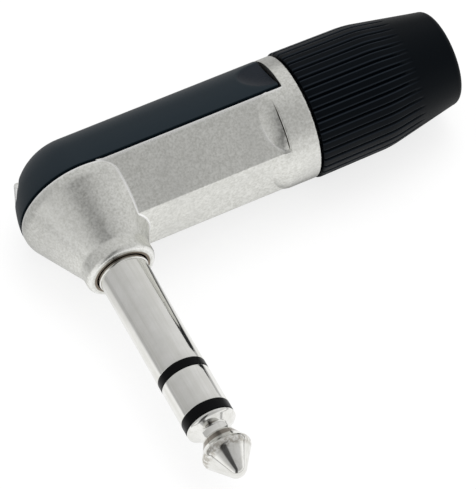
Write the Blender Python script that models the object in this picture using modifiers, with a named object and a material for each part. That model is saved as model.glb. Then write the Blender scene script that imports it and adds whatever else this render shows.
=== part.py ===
"""A right-angle 6.35 mm three-contact audio plug for a cable, as separate solids.

The plug is drawn in a design frame with its corner, where the two axes cross, at the origin:
the barrel runs along +X, the plug points down -Z and the snap-on back cover is on the +Z side.
One empty then lays the whole plug on its side, so that the plug points along -Y, and puts the
middle of its footprint at the world's origin. Every length is in millimetres until it is used.
"""
import math

import bpy
import bmesh
from mathutils import Matrix

MM = 0.001
SEGMENTS = 48               # steps around the housing and the cover
FINE_SEGMENTS = 32          # steps around the contacts, insulators and chuck
PIN_SEGMENTS = 20           # steps around the latch pin and the wire holes
BALL_SEGMENTS = 24          # steps around the ball that cuts a finger scoop
BALL_RINGS = 14             # steps from pole to pole of that ball
WELD = 0.001                # mm between points that are joined into one

FIT_GAP = 0.30              # space between pieces that lie against each other
SLIDE_GAP = 0.15            # space between thin nested tubes
RING_GAP = 0.06             # space between the flush rings of the plug
SPARE = 1.0                 # how far a blank or a cutter stands past the face that it makes
BARREL_SPARE = 0.7          # the same for the barrel's blank, lower than the head's
TROUGH_SPARE = 1.5          # the same for the trough's cutter

# The driving radius: the head's rim and the bushing's rim, which lie on one cylinder
BODY_RADIUS = 8.45

# Plug's outside and the nested tubes in it
PLUG_RADIUS = 3.175
SHANK_STEP = 0.125          # raised shank next to the collar
SHANK_RADIUS = PLUG_RADIUS + SHANK_STEP
ROD_RADIUS = 0.75
TUBE_WALL = 0.35

# Housing head, turned about the plug's axis
RIM_RADIUS = BODY_RADIUS
RIM_HEIGHT = 0.45           # straight band below the rim before the head curves in
RIM_Z = -0.50               # level of the open rim, where the cover sits
HEAD_CURVE = 2.75           # radius of the shoulder below the rim
HEAD_SLOPE = 25.3           # degrees from the axis
HEAD_WALL = 1.15
COLLAR_WALL = 1.17
COLLAR_BORE = SHANK_RADIUS + SLIDE_GAP
COLLAR_RADIUS = COLLAR_BORE + COLLAR_WALL
COLLAR_LENGTH = 2.03        # from the end of the cone to the face
COLLAR_FILLET = 1.2
COLLAR_ROUND = 0.70
ROOM_SHOULDER = 0.80        # depth below the rim's band where the room starts to narrow
ROOM_WAIST = 2.40           # depth where the room's wall follows the cone
MOUTH_LIP = 0.11            # extra wall around the room's floor

# Barrel, a trough with a flat bottom and two leaning side flats
FLAT_INSET = 0.24           # the barrel's edges inside the head's rim
FLAT_LIFT = 1.28            # the bottom flat inside the body's radius
FLAT_LEAN = 33.472          # degrees of each side flat from the upright
FLAT_TOP_HALF = RIM_RADIUS - FLAT_INSET
FLAT_LOW_Z = FLAT_LIFT - RIM_RADIUS
BARREL_WALL = 1.30
BARREL_EDGE = 0.25          # rounding along the flats' edges
FLOOR_STEP = 0.33           # the head's floor lies this much below the trough's

# Ring and threaded tail, turned about the barrel's axis
SHOULDER_X = 25.30          # crease where the domed shoulder meets the ring
DOME_LENGTH = 2.05
DOME_RISE = 1.66
DOME_FOOT = 1.25            # neck of the dome, hidden inside the flats
SHOULDER_STEP = 0.10
RING_STEP = 0.20
RING_LEDGE = 2.15           # the ring's lower half that the cover's end lies over
RING_WIDTH = 1.95
RING_EDGE = 0.25
RING_RADIUS = RIM_RADIUS - RING_STEP
RING_START_X = SHOULDER_X + RING_LEDGE
RING_END_X = RING_START_X + RING_WIDTH
SOCKET_DEPTH = 1.65         # seat of the threaded tail in the ring
TROUGH_END_WALL = 1.20
THREAD_GAP = 0.40
BUSHING_RADIUS = BODY_RADIUS
BUSHING_WALL = 1.50
TAIL_RADIUS = BUSHING_RADIUS - BUSHING_WALL - THREAD_GAP
TAIL_WALL = 1.10
TAIL_LENGTH = 10.8
TAIL_BORE = TAIL_RADIUS - TAIL_WALL
DOORWAY_STEP = 0.85
DOORWAY_RADIUS = TAIL_BORE - DOORWAY_STEP   # hole from the tail into the trough

# Back cover, a half pipe that ends in a quarter ball
COVER_STEP = 0.17
COVER_LIFT = 0.35           # dark joint line between the cover's edge and the rim
COVER_RADIUS = RIM_RADIUS - COVER_STEP
COVER_WALL = 1.20
COVER_EDGE_Z = RIM_Z + COVER_LIFT
SKIRT_WALL = 0.80
SKIRT_DEPTH = 1.00          # reach of the locating skirt below the rim
SKIRT_START_X = 7.0
SKIRT_OVERLAP = 0.20
SCOOP_ANGLE = 68.0          # degrees down each side from the cover's crown
SCOOP_LENGTH = 6.2          # half length of the ball that cuts a finger scoop
SCOOP_WIDTH = 8.3
SCOOP_THICKNESS = 3.0
SCOOP_DEPTH = 0.75

# Latch pin at the nose and the slot in the cover around it
LATCH_ANGLE = 31.2          # degrees above the rim plane
LATCH_DEPTH = 0.63
LATCH_REACH = COVER_RADIUS - LATCH_DEPTH    # from the corner to the pin's centre
LATCH_PIN_RADIUS = 0.50
LATCH_HALF = 2.20           # half length of the pin
LATCH_NECK = 0.60
LATCH_NECK_REACH = 2.20
LATCH_POST_THICKNESS = 1.0
LATCH_POST_INSET = 3.35     # post's outer face inside the rim
LATCH_POST_DROP = 0.35      # post's top below the pin's centre
LATCH_FOOT_DEPTH = 2.0      # foot's underside below the rim
LATCH_FOOT_HEIGHT = 1.0
LATCH_FOOT_SHARE = 0.75     # share of the head's wall left outside the foot's end
SLOT_OUTWARD = 2.4          # reach of the slot's cutter outwards from the pin
SLOT_INWARD = 1.6

# Plug, lengths of its pieces along its axis
SHANK_REACH = 0.50          # raised shank past the collar's face
SHANK_CHAMFER = 0.12
SLEEVE_LENGTH = 16.17
RING_INSULATOR_WIDTH = 1.16
RING_LENGTH = 5.19
TIP_INSULATOR_WIDTH = 1.45
TUBE_CHAMFER = 0.05
SHOULDER_TO_NECK = 1.38
NECK_LENGTH = 0.65
NECK_TO_CREST = 2.35
CREST_TO_APEX = 3.55
TIP_SHOULDER = 0.25
FLARE = 0.12                # small eased steps on the tip's shoulder and neck
FLARE_LENGTH = 0.25
NECK_STEP = 1.175
NECK_RADIUS = PLUG_RADIUS - NECK_STEP
CREST_STEP = 0.015
CREST_RADIUS = PLUG_RADIUS - CREST_STEP
CREST_ROUND = 0.55
CREST_START = 60.0          # degrees where the neck's flank runs into the crest
APEX_BALL = 1.35
APEX_HALF_ANGLE = 37.0
SLEEVE_FLANGE_THICKNESS = 0.6

# Contacts and carrier inside the head
CARRIER_STEP = 0.20         # carrier's radius past the floor's
CARRIER_THICKNESS = 1.3
CARRIER_EDGE = 0.30
LUG_THICKNESS = 0.4
LUG_RIM = 1.2               # metal around a lug's tube hole
LUG_WIDTH = 2.2
LUG_REACH = 0.55            # lug's end past the head
LUG_LENGTH = BODY_RADIUS + LUG_REACH
LUG_SPREAD = 20.0           # degrees of each lug from the barrel's middle line
LUG_EYE = 0.6               # radius of the wire hole
TUBE_STEP = 0.3             # how far each tube stands above the piece around it
CLAMP_END_GAP = 1.8         # clamp's end to the start of the ring's neck
CLAMP_HALF_WIDTH = 2.0
CLAMP_THICKNESS = 0.5
CLAMP_WING_LENGTH = 5.0
CLAMP_WING_HEIGHT = 2.6

# Gland bushing and its chuck
BUSHING_SEGMENTS = 72       # two steps for each flute
CHUCK_GAP = 0.35
CHUCK_WALL = 1.90
CABLE_BORE = TAIL_BORE - CHUCK_GAP - CHUCK_WALL
BUSHING_RIM_ROUND = 0.25
BUSHING_SKIRT = 9.20
BUSHING_NOSE = 12.25
BUSHING_BEND_X = RING_END_X + BUSHING_SKIRT # where the straight skirt starts to taper
BUSHING_SKIRT_DROP = 0.10   # the skirt's small draft
BUSHING_BEND = 14.0         # radius of the bend into the taper
BUSHING_TAPER = 10.9        # degrees
BUSHING_END_X = BUSHING_BEND_X + BUSHING_NOSE
BUSHING_END_ROUND = 0.90
BUSHING_LIP = 0.50
BUSHING_BORE = CABLE_BORE + BUSHING_LIP
BORE_CHAMFER = 0.60
CONE_LENGTH = 4.4
CONE_DROP = 1.1
CONE_LEAD = 1.0             # free space past the tail's end
FLUTES = 36
FLUTE_WIDTH = 0.60
FLUTE_DEPTH = 0.32
FLUTE_RUN = 6.90            # reach of the flutes along the taper
FLUTE_END_X = BUSHING_BEND_X + FLUTE_RUN
CHUCK_SLOTS = 4
CHUCK_SLOT_WIDTH = 1.0
CHUCK_SLOT_LENGTH = 9.0


def clear_scene():
    for old in list(bpy.data.objects):
        bpy.data.objects.remove(old, do_unlink=True)


def new_collection(name):
    made = bpy.data.collections.new(name)
    bpy.context.scene.collection.children.link(made)
    return made


def paint(name, colour, roughness, metallic):
    material = bpy.data.materials.new(name)
    material.use_nodes = True
    surface = material.node_tree.nodes["Principled BSDF"]
    surface.inputs["Base Color"].default_value = (*colour, 1.0)
    surface.inputs["Roughness"].default_value = roughness
    surface.inputs["Metallic"].default_value = metallic
    return material


def mm(*values):
    return [value * MM for value in values]


def arc(centre, radius, start, end, steps):
    """Points on a circle of the profile plane, angles in degrees from its first axis."""
    points = []
    for step in range(steps + 1):
        angle = math.radians(start + (end - start) * step / steps)
        points.append((centre[0] + radius * math.cos(angle),
                       centre[1] + radius * math.sin(angle)))
    return points


def cone_levels():
    """Radius and level at the top of the head's cone, the cone's end and the collar's face."""
    slope = math.radians(HEAD_SLOPE)
    top_radius = RIM_RADIUS - HEAD_CURVE * (1 - math.cos(slope))
    top_z = RIM_Z - RIM_HEIGHT - HEAD_CURVE * math.sin(slope)
    end_z = top_z - (top_radius - COLLAR_RADIUS) / math.tan(slope)
    return top_radius, top_z, end_z, end_z - COLLAR_LENGTH


def cone_radius(level):
    """Outside radius of the head's cone at a level."""
    top_radius, top_z = cone_levels()[:2]
    return top_radius - (top_z - level) * math.tan(math.radians(HEAD_SLOPE))


def head_floor():
    """Level of the head's floor and the room's radius there."""
    floor_z = FLAT_LOW_Z + BARREL_WALL - FLOOR_STEP
    return floor_z, cone_radius(floor_z) - HEAD_WALL - MOUTH_LIP


def plug_levels():
    """Levels where the sleeve, the ring insulator, the ring and the tip insulator end."""
    sleeve_end = cone_levels()[3] - SLEEVE_LENGTH
    ring_top = sleeve_end - RING_INSULATOR_WIDTH
    ring_low = ring_top - RING_LENGTH
    return sleeve_end, ring_top, ring_low, ring_low - TIP_INSULATOR_WIDTH


def tip_levels():
    """Levels of the top and bottom of the tip's neck, of its crest and of its apex."""
    neck_top = plug_levels()[3] - SHOULDER_TO_NECK
    neck_low = neck_top - NECK_LENGTH
    crest = neck_low - NECK_TO_CREST
    return neck_top, neck_low, crest, crest - CREST_TO_APEX


def place(made, group, pose, location=(0, 0, 0), rotation=(0, 0, 0)):
    """Link an object to its collection under the pose empty; location in millimetres."""
    for owner in list(made.users_collection):
        owner.objects.unlink(made)
    group.objects.link(made)
    made.parent = pose
    made.location = mm(*location)
    made.rotation_euler = [math.radians(angle) for angle in rotation]
    return made


def move_origin(made, point):
    """Put an unturned object's origin at a point, with its shape left where it is."""
    made.data.transform(Matrix.Translation(mm(*[-value for value in point])))
    made.location = mm(*point)


def smooth(mesh, angle=30.0):
    mesh.shade_smooth()
    mesh.set_sharp_from_angle(angle=math.radians(angle))


def turned(name, profile, closed, segments):
    """A profile of (radius, height) points, turned about the local Z axis.

    A closed profile makes a ring or a tube; an open one starts and ends on the axis.
    """
    mesh = bpy.data.meshes.new(name)
    points = [mm(radius, 0, height) for radius, height in profile]
    edges = [(index, index + 1) for index in range(len(points) - 1)]
    if closed:
        edges.append((len(points) - 1, 0))
    mesh.from_pydata(points, edges, [])
    made = bpy.data.objects.new(name, mesh)
    bpy.context.scene.collection.objects.link(made)
    screw = made.modifiers.new("Turn", "SCREW")
    screw.steps = segments
    screw.render_steps = segments
    screw.use_merge_vertices = True
    screw.merge_threshold = WELD * MM
    return made


def baked(made):
    """The same object with its modifiers applied to its mesh."""
    bpy.context.view_layer.update()
    graph = bpy.context.evaluated_depsgraph_get()
    mesh = bpy.data.meshes.new_from_object(made.evaluated_get(graph))
    made.modifiers.clear()
    made.data = mesh
    smooth(mesh)
    return made


def box(name, low, high):
    """A cube primitive stretched between two corners in millimetres."""
    sheet = bmesh.new()
    bmesh.ops.create_cube(sheet, size=1.0)
    size = [high[axis] - low[axis] for axis in range(3)]
    middle = [(high[axis] + low[axis]) / 2 for axis in range(3)]
    bmesh.ops.scale(sheet, vec=mm(*size), verts=sheet.verts)
    bmesh.ops.translate(sheet, vec=mm(*middle), verts=sheet.verts)
    mesh = bpy.data.meshes.new(name)
    sheet.to_mesh(mesh)
    sheet.free()
    made = bpy.data.objects.new(name, mesh)
    bpy.context.scene.collection.objects.link(made)
    return made


def cylinder(name, radius, low, high, segments=FINE_SEGMENTS):
    """A capped cylinder along local Z between two levels in millimetres."""
    sheet = bmesh.new()
    bmesh.ops.create_cone(sheet, cap_ends=True, segments=segments, radius1=radius * MM,
                          radius2=radius * MM, depth=(high - low) * MM)
    bmesh.ops.translate(sheet, vec=mm(0, 0, (high + low) / 2), verts=sheet.verts)
    mesh = bpy.data.meshes.new(name)
    sheet.to_mesh(mesh)
    sheet.free()
    made = bpy.data.objects.new(name, mesh)
    bpy.context.scene.collection.objects.link(made)
    return made


def prism(name, outline, low_x, high_x):
    """A flat outline of (y, z) points, extruded along X between two levels."""
    sheet = bmesh.new()
    corners = [sheet.verts.new(mm(low_x, y, z)) for y, z in outline]
    face = sheet.faces.new(corners)
    sides = bmesh.ops.extrude_face_region(sheet, geom=[face])
    moved = [item for item in sides["geom"] if isinstance(item, bmesh.types.BMVert)]
    bmesh.ops.translate(sheet, vec=mm(high_x - low_x, 0, 0), verts=moved)
    bmesh.ops.recalc_face_normals(sheet, faces=sheet.faces)
    mesh = bpy.data.meshes.new(name)
    sheet.to_mesh(mesh)
    sheet.free()
    made = bpy.data.objects.new(name, mesh)
    bpy.context.scene.collection.objects.link(made)
    return made


def bevel(made, width, segments=2, angle=30.0):
    edge = made.modifiers.new("Edge", "BEVEL")
    edge.width = width * MM
    edge.segments = segments
    edge.limit_method = "ANGLE"
    edge.angle_limit = math.radians(angle)
    return made


def combine(made, others, operation, cutters, pose):
    """Join or cut with other objects, which become hidden guides, and bake the result."""
    bpy.context.view_layer.update()
    for other in others:
        step = made.modifiers.new("Join " + other.name, "BOOLEAN")
        step.operation = operation
        step.solver = "EXACT"
        step.object = other
        other.hide_render = True
        other.display_type = "WIRE"
        if other.name not in cutters.objects:
            place(other, cutters, pose, [value / MM for value in other.location],
                  [math.degrees(value) for value in other.rotation_euler])
    return baked(made)


def head_outline():
    """Outer half profile of the head and collar, from the rim down to the collar's face."""
    end_z, face_z = cone_levels()[2:]
    points = arc((RIM_RADIUS - HEAD_CURVE, RIM_Z - RIM_HEIGHT), HEAD_CURVE, 0.0, -HEAD_SLOPE, 4)
    reach = COLLAR_FILLET * math.tan(math.radians(HEAD_SLOPE) / 2)
    points += arc((COLLAR_RADIUS + COLLAR_FILLET, end_z - reach), COLLAR_FILLET,
                  180.0 - HEAD_SLOPE, 180.0, 3)
    points += arc((COLLAR_RADIUS - COLLAR_ROUND, face_z + COLLAR_ROUND), COLLAR_ROUND,
                  0.0, -90.0, 5)
    return points


def barrel_half(inset, level):
    """Half width of the barrel at a level, with its side flats moved inwards by an inset."""
    lean = math.radians(FLAT_LEAN)
    return FLAT_TOP_HALF - inset / math.cos(lean) + (level - RIM_Z) * math.tan(lean)


def barrel_outline(inset, above):
    """Section of the barrel as (y, z) points: moved in by an inset, and carried above the rim."""
    low_z = FLAT_LOW_Z + inset
    top_z = RIM_Z + above
    low_half = barrel_half(inset, low_z)
    top_half = barrel_half(inset, top_z)
    return [(-top_half, top_z), (-low_half, low_z), (low_half, low_z), (top_half, top_z)]


def shoulder_profile():
    """Domed shoulder, ring and the tail's socket as (radius, x) points, from the socket round."""
    dome_foot = RING_RADIUS - SHOULDER_STEP - DOME_RISE
    dome = [(dome_foot + DOME_RISE * up, SHOULDER_X + DOME_LENGTH * along)
            for along, up in arc((0.0, 0.0), 1.0, 180.0, 90.0, 5)]
    core = DOORWAY_RADIUS / 2
    socket = TAIL_RADIUS + FIT_GAP
    floor_x = RING_END_X - SOCKET_DEPTH
    rising = ([(core, SHOULDER_X - DOME_LENGTH - DOME_FOOT)] + dome
              + [(RING_RADIUS, SHOULDER_X), (RING_RADIUS, RING_END_X - RING_EDGE),
                 (RING_RADIUS - RING_EDGE, RING_END_X), (socket, RING_END_X),
                 (socket, floor_x), (core, floor_x)])
    return rising[::-1]


def latch_centre():
    angle = math.radians(LATCH_ANGLE)
    return (-LATCH_REACH * math.cos(angle), LATCH_REACH * math.sin(angle))


def make_latch(housing, cutters, pose):
    """The post inside the nose and the pin on it that the cover's slot hooks over."""
    pin_x, pin_z = latch_centre()
    pin = cylinder("latch_pin", LATCH_PIN_RADIUS, -LATCH_HALF, LATCH_HALF, PIN_SEGMENTS)
    pin.location = mm(pin_x, 0, pin_z)
    pin.rotation_euler = (math.radians(90), 0, 0)
    post_x = LATCH_POST_INSET - RIM_RADIUS
    inner_x = post_x + LATCH_POST_THICKNESS
    foot_z = RIM_Z - LATCH_FOOT_DEPTH
    post = box("latch_post", (post_x, -LATCH_HALF, foot_z),
               (inner_x, LATCH_HALF, pin_z - LATCH_POST_DROP))
    foot = box("latch_foot", (LATCH_FOOT_SHARE * HEAD_WALL - RIM_RADIUS, -LATCH_HALF, foot_z),
               (inner_x, LATCH_HALF, foot_z + LATCH_FOOT_HEIGHT))
    neck = box("latch_neck", (-LATCH_NECK_REACH, -LATCH_HALF, -LATCH_NECK / 2),
               (0.0, LATCH_HALF, LATCH_NECK / 2))
    neck.location = mm(pin_x, 0, pin_z)
    neck.rotation_euler = (0, math.radians(180.0 + LATCH_ANGLE), 0)
    combine(housing, [post, foot, neck, pin], "UNION", cutters, pose)


def make_housing(parts, cutters, pose, metal):
    """Die-cast body: head, collar, trough, ring, threaded tail and the latch post."""
    face_z = cone_levels()[3]
    floor_z, mouth = head_floor()
    outline = [(0.0, RIM_Z + SPARE), (RIM_RADIUS, RIM_Z + SPARE)] + head_outline()
    housing = turned("housing", outline + [(0.0, face_z)], False, SEGMENTS)
    place(housing, parts, pose)
    housing.data.materials.append(metal)
    baked(housing)

    barrel = prism("barrel_solid", barrel_outline(0.0, BARREL_SPARE), 0.0, SHOULDER_X)
    bevel(barrel, BARREL_EDGE)
    baked(barrel)
    ring = turned("ring_solid", shoulder_profile(), True, SEGMENTS)
    ring.rotation_euler = (0, math.radians(90), 0)
    combine(housing, [barrel, ring], "UNION", cutters, pose)
    roof = box("roof_cut", (-2 * RIM_RADIUS, -2 * RIM_RADIUS, RIM_Z),
               (RING_START_X, 2 * RIM_RADIUS, 2 * RIM_RADIUS))
    combine(housing, [roof], "DIFFERENCE", cutters, pose)

    band_z = RIM_Z - RIM_HEIGHT
    waist_z = band_z - ROOM_WAIST
    room_radius = RIM_RADIUS - HEAD_WALL
    head_room = turned("head_room", [(0.0, RIM_Z + SPARE), (room_radius, RIM_Z + SPARE),
                                     (room_radius, band_z - ROOM_SHOULDER),
                                     (cone_radius(waist_z) - HEAD_WALL, waist_z),
                                     (mouth, floor_z), (0.0, floor_z)], False, SEGMENTS)
    trough = prism("trough", barrel_outline(BARREL_WALL, TROUGH_SPARE), 0.0,
                   RING_START_X - TROUGH_END_WALL)
    bore = cylinder("plug_bore", COLLAR_BORE, face_z - SPARE, floor_z + SPARE)
    doorway = cylinder("doorway", DOORWAY_RADIUS, SHOULDER_X - DOME_LENGTH - DOME_FOOT,
                       RING_END_X + SPARE)
    doorway.rotation_euler = (0, math.radians(90), 0)
    combine(housing, [baked(head_room), trough, bore, doorway], "DIFFERENCE", cutters, pose)
    make_latch(housing, cutters, pose)
    return housing


def make_tail(parts, pose, metal):
    """Threaded tube, seated in the ring, that the bushing screws onto."""
    start_x = RING_END_X - SOCKET_DEPTH + FIT_GAP
    end_x = RING_END_X + TAIL_LENGTH
    tail = turned("threaded_tail", [(TAIL_BORE, end_x), (TAIL_RADIUS - RING_EDGE, end_x),
                                    (TAIL_RADIUS, end_x - RING_EDGE), (TAIL_RADIUS, start_x),
                                    (TAIL_BORE, start_x)], True, SEGMENTS)
    place(tail, parts, pose, (0, 0, 0), (0, 90, 0))
    tail.data.materials.append(metal)
    baked(tail)


def scoop_ball(side, end_x):
    """A flattened ball that cuts one finger scoop into the side of the cover's end."""
    sheet = bmesh.new()
    bmesh.ops.create_uvsphere(sheet, u_segments=BALL_SEGMENTS, v_segments=BALL_RINGS, radius=MM)
    bmesh.ops.scale(sheet, vec=(SCOOP_LENGTH, SCOOP_WIDTH, SCOOP_THICKNESS), verts=sheet.verts)
    mesh = bpy.data.meshes.new("scoop_ball")
    sheet.to_mesh(mesh)
    sheet.free()
    scoop = bpy.data.objects.new("scoop_ball", mesh)
    bpy.context.scene.collection.objects.link(scoop)
    reach = COVER_RADIUS + SCOOP_THICKNESS - SCOOP_DEPTH
    angle = math.radians(SCOOP_ANGLE)
    scoop.location = mm(end_x, side * reach * math.sin(angle), reach * math.cos(angle))
    scoop.rotation_euler = (-side * angle, 0, 0)
    return scoop


def skirt_root(inset):
    """Level where a leaning face, set in from the flats, meets the middle of the cover's wall."""
    slope = math.tan(math.radians(FLAT_LEAN))
    half = barrel_half(inset, 0.0)
    wall = COVER_RADIUS - COVER_WALL / 2
    square = 1 + slope ** 2
    return (math.sqrt((half * slope) ** 2 - square * (half ** 2 - wall ** 2)) - half * slope) / square


def cover_skirt(side, end_x):
    """A thin wall under the cover's edge that fits inside the trough."""
    outer = BARREL_WALL + FIT_GAP
    inner = outer + SKIRT_WALL
    low_z = RIM_Z - SKIRT_DEPTH
    root_z = skirt_root(outer)
    section = [(side * barrel_half(outer, root_z), root_z), (side * barrel_half(outer, low_z), low_z),
               (side * barrel_half(inner, low_z), low_z), (side * barrel_half(inner, root_z), root_z)]
    return prism("cover_skirt", section, SKIRT_START_X, end_x)


def make_cover(parts, cutters, pose, plastic):
    """Snap-on back cover with its nose ball, locating skirts, finger scoops and latch slot."""
    pin_x, pin_z = latch_centre()
    end_x = RING_START_X - FIT_GAP
    inner = COVER_RADIUS - COVER_WALL
    ball = [(0.0, COVER_RADIUS)] + arc((0, 0), COVER_RADIUS, 90.0, 0.0, 12)[1:]
    outer = turned("back_cover", ball + [(COVER_RADIUS, COVER_EDGE_Z), (0.0, COVER_EDGE_Z)],
                   False, SEGMENTS)
    place(outer, parts, pose)
    outer.data.materials.append(plastic)
    baked(outer)
    pipe = cylinder("cover_pipe", COVER_RADIUS, 0.0, end_x, SEGMENTS)
    pipe.rotation_euler = (0, math.radians(90), 0)
    past = COVER_RADIUS + SPARE
    below = box("cover_below", (-SPARE, -past, -past), (end_x + SPARE, past, COVER_EDGE_Z))
    combine(pipe, [below], "DIFFERENCE", cutters, pose)
    combine(outer, [pipe], "UNION", cutters, pose)

    hollow_ball = turned("hollow_ball", [(0.0, inner)] + arc((0, 0), inner, 90.0, 0.0, 8)[1:]
                         + [(inner, -SPARE), (0.0, -SPARE)], False, SEGMENTS)
    hollow = cylinder("hollow_pipe", inner, 0.0, end_x - COVER_WALL, SEGMENTS)
    hollow.rotation_euler = (0, math.radians(90), 0)
    combine(hollow, [baked(hollow_ball)], "UNION", cutters, pose)
    slot_y = LATCH_HALF + FIT_GAP
    slot_z = LATCH_PIN_RADIUS + FIT_GAP
    slot = box("latch_slot", (-SLOT_OUTWARD, -slot_y, -slot_z), (SLOT_INWARD, slot_y, slot_z))
    slot.location = mm(pin_x, 0, pin_z)
    slot.rotation_euler = (0, math.radians(LATCH_ANGLE), 0)
    scoops = [scoop_ball(side, end_x) for side in (-1, 1)]
    combine(outer, [hollow, slot] + scoops, "DIFFERENCE", cutters, pose)
    skirts = [cover_skirt(side, end_x - COVER_WALL + SKIRT_OVERLAP) for side in (-1, 1)]
    combine(outer, skirts, "UNION", cutters, pose)
    move_origin(outer, (pin_x, 0.0, pin_z))


def plug_radii():
    """Bore and outside radius of each nested tube, from the rod outwards."""
    bore = ROD_RADIUS + SLIDE_GAP
    radii = []
    for _ in range(3):
        radii.append((bore, bore + TUBE_WALL))
        bore += TUBE_WALL + SLIDE_GAP
    return radii + [(bore, PLUG_RADIUS)]


def stack_levels():
    """Heights inside the head: flange top, carrier top, ring lug top and tip lug top."""
    flange = head_floor()[0] + FIT_GAP + SLEEVE_FLANGE_THICKNESS
    carrier = flange + FIT_GAP + CARRIER_THICKNESS
    ring_lug = carrier + FIT_GAP + LUG_THICKNESS
    tip_lug = ring_lug + 2 * TUBE_STEP + FIT_GAP + LUG_THICKNESS
    return flange, carrier, ring_lug, tip_lug


def ring_of_tube(name, radii, low_z, high_z, tube_top_z):
    """A flush ring of the plug with the thin tube that carries it up into the head."""
    bore, tube_outer = radii
    profile = [(bore, tube_top_z), (tube_outer, tube_top_z), (tube_outer, high_z),
               (PLUG_RADIUS - TUBE_CHAMFER, high_z), (PLUG_RADIUS, high_z - TUBE_CHAMFER),
               (PLUG_RADIUS, low_z + TUBE_CHAMFER), (PLUG_RADIUS - TUBE_CHAMFER, low_z),
               (bore, low_z)]
    return turned(name, profile, True, FINE_SEGMENTS)


def tip_profile():
    """The tip from its flat back to the rounded point, as (radius, height) points."""
    back_z = plug_levels()[3] - RING_GAP
    neck_top, neck_low, crest_z, apex_z = tip_levels()
    shoulder_z = back_z - TIP_SHOULDER
    shoulder = [(PLUG_RADIUS, back_z), (PLUG_RADIUS, shoulder_z),
                (PLUG_RADIUS - FLARE, shoulder_z - FLARE_LENGTH)]
    waist = [(NECK_RADIUS + FLARE, neck_top + FLARE_LENGTH), (NECK_RADIUS, neck_top),
             (NECK_RADIUS, neck_low), (NECK_RADIUS + FLARE, neck_low - FLARE_LENGTH)]
    crest = arc((CREST_RADIUS - CREST_ROUND, crest_z), CREST_ROUND, CREST_START,
                -APEX_HALF_ANGLE, 6)
    point = arc((0.0, apex_z + APEX_BALL), APEX_BALL, -APEX_HALF_ANGLE, -90.0, 6)
    return shoulder + waist + crest + point


def make_plug(parts, pose, nickel, black):
    """The five coaxial pieces of the plug: tip, ring and sleeve with their two insulators."""
    flange, carrier, ring_lug, tip_lug = stack_levels()
    sleeve_end, ring_top, ring_low, tip_top = plug_levels()
    tip_tube, ring_tube, sleeve_tube, sleeve = plug_radii()
    rod_top = tip_lug + TUBE_STEP
    tip = turned("tip_contact", [(0.0, rod_top), (ROD_RADIUS, rod_top),
                                 (ROD_RADIUS, tip_top - RING_GAP)] + tip_profile(),
                 False, FINE_SEGMENTS)
    tip_insulator = ring_of_tube("tip_insulator", tip_tube, tip_top, ring_low - RING_GAP,
                                 ring_lug + 2 * TUBE_STEP)
    ring = ring_of_tube("ring_contact", ring_tube, ring_low, ring_top - RING_GAP,
                        ring_lug + TUBE_STEP)
    insulator = ring_of_tube("ring_insulator", sleeve_tube, ring_top, sleeve_end - RING_GAP, carrier)
    flange_radius = head_floor()[1] - FIT_GAP
    flange_low = flange - SLEEVE_FLANGE_THICKNESS
    shank_end = cone_levels()[3] - SHANK_REACH
    sleeve_contact = turned("sleeve_contact",
                            [(sleeve[0], flange), (flange_radius, flange),
                             (flange_radius, flange_low), (SHANK_RADIUS, flange_low),
                             (SHANK_RADIUS, shank_end + SHANK_CHAMFER), (PLUG_RADIUS, shank_end),
                             (PLUG_RADIUS, sleeve_end), (sleeve[0], sleeve_end)],
                            True, FINE_SEGMENTS)
    for made, material in ((tip, nickel), (tip_insulator, black), (ring, nickel),
                           (insulator, black), (sleeve_contact, nickel)):
        place(made, parts, pose)
        made.data.materials.append(material)
        baked(made)


def make_lug(name, tube_radius, top_z, turn, parts, cutters, pose, tin):
    """A flat solder lug: an eye around its tube and a tongue with a wire hole."""
    low_z = top_z - LUG_THICKNESS
    bore_radius = tube_radius + SLIDE_GAP
    lug = cylinder(name, bore_radius + LUG_RIM, low_z, top_z)
    place(lug, parts, pose, (0, 0, 0), (0, 0, turn))
    lug.data.materials.append(tin)
    tongue = box(name + "_tongue", (0.0, -LUG_WIDTH / 2, low_z), (LUG_LENGTH, LUG_WIDTH / 2, top_z))
    tongue.rotation_euler = (0, 0, math.radians(turn))
    combine(lug, [tongue], "UNION", cutters, pose)
    bore = cylinder(name + "_bore", bore_radius, low_z - SPARE, top_z + SPARE)
    eye = cylinder(name + "_eye", LUG_EYE, low_z - SPARE, top_z + SPARE, PIN_SEGMENTS)
    reach = LUG_LENGTH - LUG_WIDTH / 2
    angle = math.radians(turn)
    eye.location = mm(reach * math.cos(angle), reach * math.sin(angle), 0)
    return combine(lug, [bore, eye], "DIFFERENCE", cutters, pose)


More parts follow.
